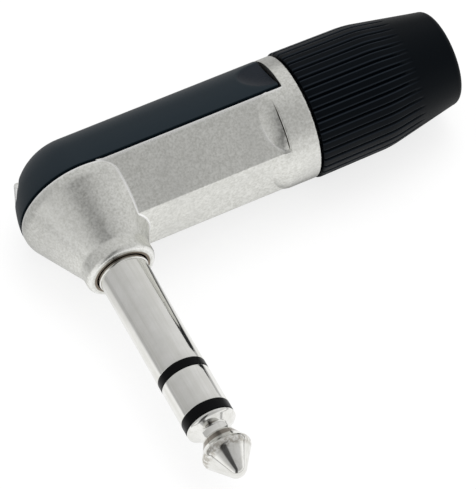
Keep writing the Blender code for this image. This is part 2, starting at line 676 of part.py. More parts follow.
def make_contacts(parts, cutters, pose, tin, black):
    """Carrier, solder lugs and the earthing cable clamp that lie inside the housing."""
    flange, carrier, ring_lug, tip_lug = stack_levels()
    ring_tube, sleeve_tube = plug_radii()[1:3]
    bore = sleeve_tube[1] + SLIDE_GAP
    carrier_radius = head_floor()[1] + CARRIER_STEP
    disc = turned("contact_carrier",
                  [(bore, carrier), (carrier_radius - CARRIER_EDGE, carrier),
                   (carrier_radius, carrier - CARRIER_EDGE), (carrier_radius, flange + FIT_GAP),
                   (bore, flange + FIT_GAP)], True, FINE_SEGMENTS)
    place(disc, parts, pose)
    disc.data.materials.append(black)
    baked(disc)
    make_lug("ring_lug", ring_tube[1], ring_lug, -LUG_SPREAD, parts, cutters, pose, tin)
    make_lug("tip_lug", ROD_RADIUS, tip_lug, LUG_SPREAD, parts, cutters, pose, tin)

    low_z = FLAT_LOW_Z + BARREL_WALL + FIT_GAP
    end_x = SHOULDER_X - DOME_LENGTH - DOME_FOOT - CLAMP_END_GAP
    plate = box("earth_clamp", (carrier_radius + FIT_GAP, -CLAMP_HALF_WIDTH, low_z),
                (end_x, CLAMP_HALF_WIDTH, low_z + CLAMP_THICKNESS))
    place(plate, parts, pose)
    plate.data.materials.append(tin)
    wings = []
    for side in (-1, 1):
        faces = sorted((side * CLAMP_HALF_WIDTH, side * (CLAMP_HALF_WIDTH - CLAMP_THICKNESS)))
        wings.append(box("clamp_wing", (end_x - CLAMP_WING_LENGTH, faces[0], low_z),
                         (end_x, faces[1], low_z + CLAMP_WING_HEIGHT)))
    combine(plate, wings, "UNION", cutters, pose)


def taper_profile():
    """Outer line of the bushing from its end round down to its rim, as (radius, x) points."""
    taper = math.radians(BUSHING_TAPER)
    waist = BUSHING_RADIUS - BUSHING_SKIRT_DROP
    bend = arc((waist - BUSHING_BEND, BUSHING_BEND_X), BUSHING_BEND, BUSHING_TAPER, 0.0, 3)
    start_r, start_x = bend[0]
    round_x = BUSHING_END_X - BUSHING_END_ROUND
    end_r = start_r - (round_x - start_x) * math.tan(taper)
    rounding = arc((end_r - BUSHING_END_ROUND, round_x), BUSHING_END_ROUND, 90.0, 0.0, 4)
    rim_x = RING_END_X + FIT_GAP
    rim = [(BUSHING_RADIUS, rim_x + BUSHING_RIM_ROUND), (BUSHING_RADIUS - BUSHING_RIM_ROUND, rim_x)]
    return rounding + bend + rim


def flute_cutter():
    """All the bushing's flutes as one comb of thin blades around its axis."""
    floor = BUSHING_RADIUS - BUSHING_SKIRT_DROP - FLUTE_DEPTH
    run_out = floor + FLUTE_DEPTH \
        - (FLUTE_END_X - BUSHING_BEND_X) * math.tan(math.radians(BUSHING_TAPER))
    past = BUSHING_RADIUS + SPARE
    outline = [(RING_END_X, floor), (BUSHING_BEND_X, floor), (FLUTE_END_X, run_out),
               (FLUTE_END_X, past), (RING_END_X, past)]
    across = FLUTE_WIDTH / 2
    comb = bmesh.new()
    for flute in range(FLUTES):
        angle = 2 * math.pi * (flute + 0.5) / FLUTES
        cos_a, sin_a = math.cos(angle), math.sin(angle)
        corners = [comb.verts.new(mm(radius * cos_a + across * sin_a,
                                     radius * sin_a - across * cos_a, x))
                   for x, radius in outline]
        grown = bmesh.ops.extrude_face_region(comb, geom=[comb.faces.new(corners)])
        moved = [item for item in grown["geom"] if isinstance(item, bmesh.types.BMVert)]
        bmesh.ops.translate(comb, verts=moved, vec=mm(-FLUTE_WIDTH * sin_a, FLUTE_WIDTH * cos_a, 0))
    bmesh.ops.recalc_face_normals(comb, faces=comb.faces)
    mesh = bpy.data.meshes.new("flutes")
    comb.to_mesh(mesh)
    comb.free()
    cutter = bpy.data.objects.new("flutes", mesh)
    bpy.context.scene.collection.objects.link(cutter)
    cutter.rotation_euler = (0, math.radians(90), 0)
    return cutter


def make_gland(parts, cutters, pose, rubber, grey):
    """Fluted bushing nut and the slotted chuck that grips the cable."""
    cone_x = RING_END_X + TAIL_LENGTH + CONE_LEAD
    start_x = RING_END_X + FIT_GAP
    end_x = cone_x + CONE_LENGTH
    nut_bore = TAIL_RADIUS + THREAD_GAP
    bore = [(nut_bore, start_x), (nut_bore, cone_x), (TAIL_BORE, cone_x),
            (TAIL_BORE - CONE_DROP, end_x), (BUSHING_BORE, end_x),
            (BUSHING_BORE, BUSHING_END_X - BORE_CHAMFER),
            (BUSHING_BORE + BORE_CHAMFER, BUSHING_END_X)]
    nut = turned("bushing", taper_profile() + bore, True, BUSHING_SEGMENTS)
    place(nut, parts, pose, (0, 0, 0), (0, 90, 0))
    nut.data.materials.append(rubber)
    baked(nut)
    combine(nut, [flute_cutter()], "DIFFERENCE", cutters, pose)

    chuck_radius = TAIL_BORE - CHUCK_GAP
    chuck = turned("chuck", [(CABLE_BORE, end_x), (chuck_radius - CONE_DROP, end_x),
                             (chuck_radius, cone_x), (chuck_radius, start_x),
                             (CABLE_BORE, start_x)], True, FINE_SEGMENTS)
    place(chuck, parts, pose, (0, 0, 0), (0, 90, 0))
    chuck.data.materials.append(grey)
    baked(chuck)
    half = CHUCK_SLOT_WIDTH / 2
    slots = []
    for slot in range(CHUCK_SLOTS // 2):
        blade = box("chuck_slot", (end_x - CHUCK_SLOT_LENGTH, -half, -TAIL_BORE),
                    (end_x + SPARE, half, TAIL_BORE))
        blade.rotation_euler = (math.pi / 4 + math.pi * 2 * slot / CHUCK_SLOTS, 0, 0)
        slots.append(blade)
    combine(chuck, slots, "DIFFERENCE", cutters, pose)


def main():
    clear_scene()
    parts = new_collection("right_angle_plug")
    cutters = new_collection("cutters")
    pose = bpy.data.objects.new("lying_pose", None)
    parts.objects.link(pose)
    cast = paint("satin_nickel", (0.48, 0.48, 0.45), 0.42, 1.0)
    nickel = paint("bright_nickel", (0.62, 0.61, 0.58), 0.12, 1.0)
    tin = paint("tinned_brass", (0.55, 0.54, 0.50), 0.35, 1.0)
    cover = paint("cover_plastic", (0.030, 0.036, 0.044), 0.45, 0.0)
    black = paint("insulator_plastic", (0.010, 0.010, 0.011), 0.35, 0.0)
    grip = paint("bushing_plastic", (0.012, 0.014, 0.018), 0.45, 0.0)
    grey = paint("chuck_plastic", (0.030, 0.030, 0.032), 0.55, 0.0)
    make_housing(parts, cutters, pose, cast)
    make_tail(parts, pose, cast)
    make_cover(parts, cutters, pose, cover)
    make_plug(parts, pose, nickel, black)
    make_contacts(parts, cutters, pose, tin, black)
    make_gland(parts, cutters, pose, grip, grey)
    reach = max(RIM_RADIUS, BUSHING_RADIUS)
    middle_x = (BUSHING_END_X - RIM_RADIUS) / 2
    middle_z = (reach + tip_levels()[3]) / 2
    pose.rotation_euler = (math.radians(-90), 0, 0)
    pose.location = mm(-middle_x, -middle_z, reach)


main()
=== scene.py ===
# %% [markdown]
# # Dressing a right-angle 6.35 mm plug for its photograph
# The solids of this plug are already made elsewhere, and they come in as a fixed frame.
# Here each visible piece gets a finer surface and a finish with the grain, the polish or the
# mould texture of the real thing. Nothing is resized: a new piece takes over its solid's place.

# %% Load the frame
import math

import bmesh
import bpy
import numpy as np
from mathutils import Matrix, Vector


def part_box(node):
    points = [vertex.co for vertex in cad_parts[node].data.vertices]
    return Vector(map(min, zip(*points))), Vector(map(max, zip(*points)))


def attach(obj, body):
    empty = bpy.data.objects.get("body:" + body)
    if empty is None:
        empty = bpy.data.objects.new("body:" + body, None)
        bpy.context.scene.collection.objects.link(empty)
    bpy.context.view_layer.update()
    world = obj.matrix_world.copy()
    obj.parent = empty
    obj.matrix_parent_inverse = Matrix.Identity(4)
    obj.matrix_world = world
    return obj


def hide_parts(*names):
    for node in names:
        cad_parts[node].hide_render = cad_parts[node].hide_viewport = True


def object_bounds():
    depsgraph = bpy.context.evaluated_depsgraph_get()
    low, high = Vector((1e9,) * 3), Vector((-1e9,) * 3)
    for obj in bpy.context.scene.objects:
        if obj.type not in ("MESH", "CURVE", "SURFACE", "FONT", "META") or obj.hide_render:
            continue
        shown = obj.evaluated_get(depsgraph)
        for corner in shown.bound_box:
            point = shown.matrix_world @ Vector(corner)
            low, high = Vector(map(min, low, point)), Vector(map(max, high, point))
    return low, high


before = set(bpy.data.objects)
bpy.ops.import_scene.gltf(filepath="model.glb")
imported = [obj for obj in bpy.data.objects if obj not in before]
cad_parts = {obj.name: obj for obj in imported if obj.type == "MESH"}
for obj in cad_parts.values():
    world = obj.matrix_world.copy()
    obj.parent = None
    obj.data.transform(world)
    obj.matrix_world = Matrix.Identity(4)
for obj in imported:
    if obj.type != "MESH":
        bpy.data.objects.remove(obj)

cad_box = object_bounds()

# %% [markdown]
# ## One drawing frame
# The plug lies on its side on the table, which is awkward to draw in. So every surface below is
# worked out in drawing millimetres: the barrel runs along +x, the plug points down -z, the cover
# is on the +z side, and the corner where the two axes cross is the origin. One function carries
# those points to metres in the frame. The corner is read off two solids that are round about it.

# %% From drawing millimetres to the frame
MM = 0.001
sleeve_low, sleeve_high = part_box("sleeve_contact")
nut_low, nut_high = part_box("bushing")
CORNER = np.array([(sleeve_low.x + sleeve_high.x) / 2, (nut_low.y + nut_high.y) / 2,
                   (nut_low.z + nut_high.z) / 2])


def to_frame(x, y, z):
    """Drawing x, y, z in mm to frame metres: X = x, Y = z and Z = -y, all from the corner."""
    x, y, z = np.broadcast_arrays(x, y, z)
    return CORNER + MM * np.stack([x, z, -y], axis=-1)


print("corner of the two axes, mm:", np.round(CORNER / MM, 3))

# %% [markdown]
# ## Sheets of points, welded into a shell
# Almost every piece is one or more sheets: a grid of points that is a function of two parameters.
# A sheet may close on itself round one or both ways. Sheets that share an edge are welded, flat
# ends are closed with one many-sided face, and all faces are then turned to point outwards.
# `from_pydata` takes the whole arrays at once, which is much quicker than adding points in a loop.

# %% Grid faces and the shell maker
WELD = 2e-7


def quads(rows, columns, close_rows, close_columns):
    """Corner numbers of the squares between the neighbours of a rows x columns grid."""
    i = np.arange(rows if close_rows else rows - 1)[:, None]
    j = np.arange(columns if close_columns else columns - 1)[None, :]
    below, beside = (i + 1) % rows, (j + 1) % columns
    corners = [i * columns + j, i * columns + beside, below * columns + beside, below * columns + j]
    return np.stack(corners, axis=-1).reshape(-1, 4)


def shell(name, sheets, lids=(), sharp=35.0, highlight_and_scoop=()):
    """A closed mesh object from sheets (points, close_rows, close_columns) and flat lids.

    The last argument holds one array for each sheet: a share at each of its points, which the
    finishes read as a painted highlight on the casting and the bushing and as the darker thumb
    scoop on the cover.
    """
    points, faces, start = [], [], 0
    for sheet, close_rows, close_columns in sheets:
        rows, columns = sheet.shape[:2]
        points.append(sheet.reshape(-1, 3))
        faces += (quads(rows, columns, close_rows, close_columns) + start).tolist()
        start += rows * columns
    for lid in lids:
        points.append(lid)
        faces.append(list(range(start, start + len(lid))))
        start += len(lid)
    mesh = bpy.data.meshes.new(name)
    mesh.from_pydata(np.concatenate(points).tolist(), [], faces)
    if len(highlight_and_scoop):
        values = np.zeros(start, np.float32)
        marks = np.concatenate([np.ravel(sheet) for sheet in highlight_and_scoop])
        values[:len(marks)] = np.clip(marks, 0, 1)
        mesh.attributes.new("highlight_and_scoop", "FLOAT", "POINT").data.foreach_set("value", values)
    work = bmesh.new()
    work.from_mesh(mesh)
    bmesh.ops.remove_doubles(work, verts=work.verts, dist=WELD)
    bmesh.ops.dissolve_degenerate(work, edges=work.edges, dist=WELD)
    bmesh.ops.recalc_face_normals(work, faces=work.faces)
    open_edges = sum(not edge.is_manifold for edge in work.edges)
    work.to_mesh(mesh)
    work.free()
    mesh.shade_smooth()
    mesh.set_sharp_from_angle(angle=math.radians(sharp))
    made = bpy.data.objects.new(name, mesh)
    bpy.context.scene.collection.objects.link(made)
    print(f"{name}: {len(mesh.polygons)} faces, {open_edges} open edges")
    return made


def arc(radius, middle, start, end, steps):
    """Circle of a radius about a middle (r, h), from a start to an end angle in degrees."""
    angle = np.radians(np.linspace(start, end, steps + 1))
    return np.array(middle) + radius * np.stack([np.cos(angle), np.sin(angle)], axis=-1)


def line(start, end, steps):
    """Evenly spaced points from a start to an end, both kept."""
    return np.linspace(start, end, steps + 1)


def turned(name, profile, axis, steps=128, ring=True, sharp=35.0):
    """A profile (r, h) carried round the plug's axis "z" or the barrel's axis "x".

    The point at angle a is (r cos a, r sin a) across the axis and h along it.
    """
    r, h = np.asarray(profile, float).T[:, :, None]
    a = np.linspace(0, 2 * np.pi, steps, endpoint=False)[None, :]
    if axis == "z":
        sheet = to_frame(r * np.cos(a), r * np.sin(a), h + 0 * a)
    else:
        sheet = to_frame(h + 0 * a, r * np.cos(a), r * np.sin(a))
    return shell(name, [(sheet, ring, True)], sharp=sharp)


def block(name, low, high, turn=0.0, middle=(0.0, 0.0), sharp=35.0):
    """A box between two corners, turned by degrees in the x-z plane and moved to a middle."""
    x, y, z = (np.array([low[k], high[k]], float) for k in range(3))
    corners = np.array([[0, 0, 0], [1, 0, 0], [1, 1, 0], [0, 1, 0],
                        [0, 0, 1], [1, 0, 1], [1, 1, 1], [0, 1, 1]])
    px, py, pz = x[corners[:, 0]], y[corners[:, 1]], z[corners[:, 2]]
    c, s = math.cos(math.radians(turn)), math.sin(math.radians(turn))
    place = to_frame(middle[0] + c * px + s * pz, py, middle[1] - s * px + c * pz)
    sides = [[0, 1, 2, 3], [4, 5, 6, 7], [0, 1, 5, 4], [1, 2, 6, 5], [2, 3, 7, 6], [3, 0, 4, 7]]
    return shell(name, [], [place[side] for side in sides], sharp)


def carve(piece, tools, operation="DIFFERENCE", sharp=35.0):
    """Join or cut a piece with tools by exact booleans, then delete the tools."""
    for tool in tools:
        step = piece.modifiers.new("carve", "BOOLEAN")
        step.operation = operation
        step.solver = "EXACT"
        step.object = tool
    bpy.context.view_layer.update()
    graph = bpy.context.evaluated_depsgraph_get()
    mesh = bpy.data.meshes.new_from_object(piece.evaluated_get(graph))
    piece.modifiers.clear()
    piece.data = mesh
    for tool in tools:
        bpy.data.objects.remove(tool, do_unlink=True)
    mesh.shade_smooth()
    mesh.set_sharp_from_angle(angle=math.radians(sharp))
    return piece


def soften(piece, width, segments=2, angle=50.0):
    """Round the sharp edges of a finished piece by a width in mm."""
    edge = piece.modifiers.new("edge", "BEVEL")
    edge.width = width * MM
    edge.segments = segments
    edge.limit_method = "ANGLE"
    edge.angle_limit = math.radians(angle)
    edge.use_clamp_overlap = True
    return carve(piece, [])


# %% [markdown]
# ## Camera
# The camera stands where the photograph was taken from: about 36 cm away, above the side of the
# plug that faces up, with a long lens. Its direction is kept as an azimuth, an elevation and a
# small roll, and the matrix is built from those, so each number can be read and changed.

# %% Camera
AIM = Vector((-6.74238, 3.20079, 8.45)) * MM
DISTANCE = 363.4613 * MM
azimuth, elevation, roll = (math.radians(angle) for angle in (-118.0942, 56.2061, 1.3913))
back = Vector((math.cos(elevation) * math.cos(azimuth), math.cos(elevation) * math.sin(azimuth),
               math.sin(elevation)))
side = Vector((0, 0, 1)).cross(back).normalized()
upright = back.cross(side)
right = side * math.cos(roll) + upright * math.sin(roll)
up = back.cross(right)
camera_data = bpy.data.cameras.new("camera")
camera_data.lens = 217.409
camera_data.sensor_width = 36.0
camera_data.clip_start = 0.02
camera_data.clip_end = 20.0
camera = bpy.data.objects.new("camera", camera_data)
camera.matrix_world = Matrix.Translation(AIM + back * DISTANCE) @ Matrix(
    (right, up, back)).transposed().to_4x4()
bpy.context.scene.collection.objects.link(camera)
bpy.context.scene.camera = camera
bpy.context.scene.view_settings.view_transform = "Standard"
print("camera at, mm:", [round(value / MM, 1) for value in camera.location])

# %% [markdown]
# ## A small kit for finishes
# A finish is a node tree on the Principled shader. These helpers only save typing: one adds a
# node and sets its values, the others do a sum, a noise, a range or a blend, and hand back the
# socket that holds the result. Patterns read Object coordinates, which are metres here, so a
# scale of 1000 makes one unit of a pattern about a millimetre.

# %% Node helpers
def finish(name, colour, roughness, metallic=0.0):
    """A material whose even values sit on the shader's own sockets; returns it and its parts."""
    material = bpy.data.materials.new(name)
    material.use_nodes = True
    tree = material.node_tree
    shader = tree.nodes["Principled BSDF"]
    shader.inputs["Base Color"].default_value = (*colour, 1.0)
    shader.inputs["Roughness"].default_value = roughness
    shader.inputs["Metallic"].default_value = metallic
    place = tree.nodes.new("ShaderNodeTexCoord")
    return material, tree, shader, place.outputs["Object"]


def add(tree, kind, values=(), **settings):
    """A new node with some settings and some values of its sockets."""
    node = tree.nodes.new(kind)
    for key, value in settings.items():
        setattr(node, key, value)
    for socket, value in dict(values).items():
        if isinstance(value, bpy.types.NodeSocket):
            tree.links.new(value, node.inputs[socket])
        else:
            node.inputs[socket].default_value = value
    return node


def sums(tree, operation, *values):
    """The result of one Math node on up to three numbers or sockets."""
    return add(tree, "ShaderNodeMath", enumerate(values), operation=operation).outputs[0]


def vector_sums(tree, operation, *values):
    """The result of one Vector Math node: a number for a length or a dot product."""
    node = add(tree, "ShaderNodeVectorMath", enumerate(values), operation=operation)
    return node.outputs["Value" if operation in ("LENGTH", "DOT_PRODUCT") else "Vector"]


def parts_of(tree, value):
    """The X, Y and Z sockets of a vector."""
    return add(tree, "ShaderNodeSeparateXYZ", {0: value}).outputs


def from_corner(tree, place):
    """How far a point lies from the corner, in metres: along the barrel, the plug and across."""
    return parts_of(tree, vector_sums(tree, "SUBTRACT", place, tuple(CORNER)))


def mark_share(tree):
    """The share at each point, from 0 to 1: a painted highlight on the casting and the bushing, the
    darker thumb scoop on the cover.
    """
    return add(tree, "ShaderNodeAttribute", attribute_name="highlight_and_scoop").outputs["Fac"]


def noise(tree, place, scale, detail=2.0, rough=0.5, stretch=(1, 1, 1), turn=(0, 0, 0)):
    """Cloudy noise; scale is in lumps for each metre, and a stretch below 1 draws it out."""
    held = add(tree, "ShaderNodeMapping", {"Vector": place, "Scale": stretch, "Rotation": turn})
    cloud = add(tree, "ShaderNodeTexNoise", {"Vector": held.outputs[0], "Scale": scale,
                                             "Detail": detail, "Roughness": rough})
    return cloud.outputs[0]


def spread(tree, value, low, high, to_low, to_high):
    """Carry a value's range from low..high to to_low..to_high, held at the ends."""
    return add(tree, "ShaderNodeMapRange", {"Value": value, "From Min": low, "From Max": high,
                                            "To Min": to_low, "To Max": to_high}).outputs[0]


def inside_band(tree, value, middle, full, clear):
    """1 within a distance of a middle, falling to 0 by a second distance: from |value - middle|."""
    off = sums(tree, "ABSOLUTE", sums(tree, "SUBTRACT", value, middle))
    return spread(tree, off, full, clear, 1.0, 0.0)


def blend_colour(tree, share, first, second):
    """A colour between the first and the second, by a share from 0 to 1."""
    mixed = add(tree, "ShaderNodeMix", data_type="RGBA")
    for socket, value in ((0, share), (6, first), (7, second)):
        if isinstance(value, bpy.types.NodeSocket):
            tree.links.new(value, mixed.inputs[socket])
        else:
            mixed.inputs[socket].default_value = (*value, 1.0)
    return mixed.outputs[2]


def bump(tree, shader, height, depth, strength=1.0):
    """Dent the shader's normal by a height map whose full depth is given in mm."""
    dent = add(tree, "ShaderNodeBump", {"Height": height, "Distance": depth * MM,
                                        "Strength": strength})
    tree.links.new(dent.outputs[0], shader.inputs["Normal"])


# %% [markdown]
# ## Satin nickel of the cast body
# The body is a zinc casting, tumbled and then nickel plated, so it is a soft grey with a fine
# mottle a few tenths of a millimetre across. Larger, faint, slanting smears cross the cone where
# it was handled. The mottle goes into colour, roughness and a very shallow bump together,
# because a real cast skin varies in all three at once. A painted highlight makes the edges
# paler, and they are smoother too: they read a share that the surfaces below carry at each
# point. The plate is darker brown round the plug's root, and painted shade darkens the groove at
# the barrel's shoulder and the narrow gap behind the cover.

# %% Satin nickel
# The dark brown at the root and the painted shade in the groove and the gap: over each pair of
# places, counted from the corner, one of them fades in or out.
ROOT_REACH, ROOT_LEVEL = (3.70 * MM, 3.82 * MM), (-11.45 * MM, -11.2 * MM)
GROOVE_X, GROOVE_HALF = 25.385 * MM, (0.035 * MM, 0.085 * MM)
GROOVE_TOP, GROOVE_FOOT = (-1.6 * MM, -3.6 * MM), (-6.95 * MM, -6.6 * MM)
GAP_FRONT, GAP_BACK, GAP_FOOT = ((19.0 * MM, 20.0 * MM), (27.40 * MM, 27.50 * MM),
                                 (-0.45 * MM, -0.25 * MM))
satin, tree, shader, place = finish("satin_nickel", (0.72, 0.715, 0.685), 0.34, 1.0)
grain = noise(tree, place, 3600, 3.0, 0.6)
mottle = noise(tree, place, 1900, 3.0, 0.6)
smear = noise(tree, place, 170, 2.0, 0.5, stretch=(1.0, 0.4, 1.0), turn=(0.0, 0.0, 0.5))
both = sums(tree, "MULTIPLY_ADD", mottle, 0.6, grain)
tone = blend_colour(tree, spread(tree, both, 0.62, 0.98, 0.0, 1.0), (0.63, 0.63, 0.59),
                    (0.85, 0.85, 0.815))
tone = blend_colour(tree, spread(tree, smear, 0.48, 0.72, 0.0, 0.35), tone, (0.58, 0.58, 0.56))

barrel_x, plug_y, side_z = from_corner(tree, place)
from_axis = add(tree, "ShaderNodeCombineXYZ", {"X": barrel_x, "Y": side_z}).outputs[0]
from_axis = vector_sums(tree, "LENGTH", from_axis)
root = sums(tree, "MULTIPLY", spread(tree, from_axis, *ROOT_REACH, 1.0, 0.0),
            spread(tree, plug_y, *ROOT_LEVEL, 1.0, 0.0))
tone = blend_colour(tree, root, tone, (0.20, 0.165, 0.13))
# Painted shade in the groove at the barrel's shoulder: the step's face on the side flats is
# darkened.
groove = inside_band(tree, barrel_x, GROOVE_X, *GROOVE_HALF)
groove = sums(tree, "MULTIPLY", groove, spread(tree, plug_y, *GROOVE_TOP, 0.0, 1.0))
groove = sums(tree, "MULTIPLY", groove, spread(tree, plug_y, *GROOVE_FOOT, 0.0, 1.0))
tone = blend_colour(tree, groove, tone, (0.10, 0.085, 0.07))
# Painted highlight: the edges that the points' share marks are made paler, and the same share makes
# them smoother.
edge_highlight = mark_share(tree)
tone = blend_colour(tree, edge_highlight, tone, (0.97, 0.97, 0.96))
# Painted shade in the narrow gap behind the cover, on the ring's face below the cover's end.
gap_shade = sums(tree, "MULTIPLY", spread(tree, barrel_x, *GAP_BACK, 1.0, 0.0),
           spread(tree, barrel_x, *GAP_FRONT, 0.0, 1.0))
gap_shade = sums(tree, "MULTIPLY", gap_shade, spread(tree, plug_y, *GAP_FOOT, 0.0, 1.0))
tree.links.new(blend_colour(tree, gap_shade, tone, (0.014, 0.011, 0.008)), shader.inputs["Base Color"])
rough = sums(tree, "MULTIPLY_ADD", edge_highlight, -0.10, spread(tree, both, 0.62, 0.98, 0.30, 0.40))
tree.links.new(rough, shader.inputs["Roughness"])
bump(tree, shader, both, 0.009, 0.6)
print("satin nickel:", len(tree.nodes), "nodes")

# %% [markdown]
# ## Bright nickel of the plug
# The sleeve, the ring and the tip are turned brass with a bright nickel plate. They are polished
# along the turning marks, so fine rings go round the plug: a noise squeezed hard along the
# plug's axis, which lies along Y in the frame. Pushing the plug in and out draws faint streaks
# the other way. The tip's widest part is scuffed by the spring that it snaps past, and the
# narrow band before it, which nothing touches, has gone dull and brown.

# %% Bright nickel
# Two bands round the tip: the middle, and half the width where full and where gone.
SCUFF_Y, SCUFF_HALF = -40.15 * MM, (0.40 * MM, 0.75 * MM)
DULL_Y, DULL_HALF = -38.42 * MM, (0.36 * MM, 0.46 * MM)
bright, tree, shader, place = finish("bright_nickel", (0.79, 0.785, 0.755), 0.08, 1.0)
turning = noise(tree, place, 900, 2.0, 0.5, stretch=(0.05, 6.0, 0.05))
streak = noise(tree, place, 1500, 3.0, 0.6, stretch=(1.0, 0.03, 1.0))
cloud = noise(tree, place, 500, 2.0, 0.5)
plug_y = from_corner(tree, place)["Y"]
tone = blend_colour(tree, spread(tree, cloud, 0.35, 0.65, 0.0, 1.0), (0.77, 0.765, 0.735),
                    (0.83, 0.825, 0.80))
tone = blend_colour(tree, spread(tree, streak, 0.45, 0.68, 0.0, 0.55), tone, (0.66, 0.655, 0.61))
scuff = spread(tree, noise(tree, place, 1900, 3.0, 0.65), 0.40, 0.56, 0.0, 0.80)
scuff = sums(tree, "MULTIPLY", scuff, inside_band(tree, plug_y, SCUFF_Y, *SCUFF_HALF))
tone = blend_colour(tree, scuff, tone, (0.40, 0.375, 0.33))
dull = inside_band(tree, plug_y, DULL_Y, *DULL_HALF)
tree.links.new(blend_colour(tree, dull, tone, (0.30, 0.27, 0.24)), shader.inputs["Base Color"])
tree.links.new(spread(tree, cloud, 0.3, 0.7, 0.05, 0.11), shader.inputs["Roughness"])
bump(tree, shader, turning, 0.0006, 0.4)
print("bright nickel:", len(tree.nodes), "nodes")

# %% [markdown]
# ## Plastics
# The back cover is a blue-black moulding with a fine spark-eroded mould texture, smoother and
# darker in the thumb scoops. The bushing is nearly black with a slight blue sheen, and a painted
# highlight makes the edges of its flutes paler. The insulators between the contacts are smooth
# black. The chuck is plain dark grey.

# %% Plastics
COVER_BLACK, SCOOP_BLACK = (0.0060, 0.0120, 0.0175), (0.0004, 0.0028, 0.0080)
# The bushing's second colour is the painted highlight along the edges of its flutes.
NUT_BLACK, NUT_EDGE_HIGHLIGHT = (0.0003, 0.0010, 0.0022), (0.020, 0.026, 0.035)


def blue_gloss(shader, specular, sheen):
    """A faint blue gloss and a little sheen for a black plastic."""
    for socket, level in (("Specular IOR Level", specular), ("Sheen Weight", sheen),
                          ("Specular Tint", (0.82, 0.93, 1.0, 1.0)), ("Sheen Roughness", 0.15)):
        shader.inputs[socket].default_value = level


cover_black, tree, shader, place = finish("cover_plastic", COVER_BLACK, 0.42)
blue_gloss(shader, 0.27, 0.03)
texture = noise(tree, place, 6000, 2.0, 0.6)
in_scoop = mark_share(tree)
# Darker and smoother in the thumb scoops.
tree.links.new(blend_colour(tree, in_scoop, COVER_BLACK, SCOOP_BLACK), shader.inputs["Base Color"])
rough = sums(tree, "MULTIPLY_ADD", in_scoop, -0.12, spread(tree, texture, 0.3, 0.7, 0.38, 0.48))
tree.links.new(rough, shader.inputs["Roughness"])
bump(tree, shader, texture, 0.004, 0.4)

nut_black, tree, shader, place = finish("bushing_plastic", NUT_BLACK, 0.38)
blue_gloss(shader, 0.09, 0.06)
texture = noise(tree, place, 5000, 2.0, 0.6)
tree.links.new(spread(tree, texture, 0.3, 0.7, 0.34, 0.46), shader.inputs["Roughness"])
# Painted highlight along the flutes' edges.
tree.links.new(blend_colour(tree, mark_share(tree), NUT_BLACK, NUT_EDGE_HIGHLIGHT), shader.inputs["Base Color"])
bump(tree, shader, texture, 0.003, 0.4)

ring_black, tree, shader, place = finish("insulator_plastic", (0.0012, 0.0012, 0.0016), 0.28)
shader.inputs["Specular IOR Level"].default_value = 0.09
texture = noise(tree, place, 4000, 2.0, 0.5)
tree.links.new(spread(tree, texture, 0.3, 0.7, 0.26, 0.36), shader.inputs["Roughness"])

chuck_grey, tree, shader, place = finish("chuck_plastic", (0.030, 0.030, 0.032), 0.50)
texture = noise(tree, place, 5000, 2.0, 0.6)
tree.links.new(spread(tree, texture, 0.3, 0.7, 0.45, 0.58), shader.inputs["Roughness"])
bump(tree, shader, texture, 0.003, 0.4)
print("plastics:", cover_black.name, nut_black.name, ring_black.name, chuck_grey.name)

# %% [markdown]
# ## Tinned brass
# The solder lugs and the earthing clamp are brass, dipped in tin so that solder takes. Tin that
# has run and set is greyer than nickel and gently lumpy, so one slow noise drives its colour, its
# roughness and a deeper bump.

# %% Tinned brass
tinned, tree, shader, place = finish("tinned_brass", (0.66, 0.65, 0.61), 0.30, 1.0)
flow = noise(tree, place, 900, 3.0, 0.55)
tree.links.new(blend_colour(tree, spread(tree, flow, 0.3, 0.7, 0.0, 1.0), (0.60, 0.585, 0.54),
                            (0.72, 0.71, 0.68)), shader.inputs["Base Color"])
tree.links.new(spread(tree, flow, 0.3, 0.7, 0.22, 0.40), shader.inputs["Roughness"])
bump(tree, shader, flow, 0.01, 0.5)
print("tinned brass:", len(tree.nodes), "nodes")

# %% [markdown]
# ## The cast head's outline
# The head is turned about the plug's axis: a rim band, a rounded shoulder, a long cone, a small
# hollow into the collar, and the collar's rounded lip. The outline is a list of points in
# radius and level, with its length along the line as the parameter, so that a sheet can start
# anywhere along it.

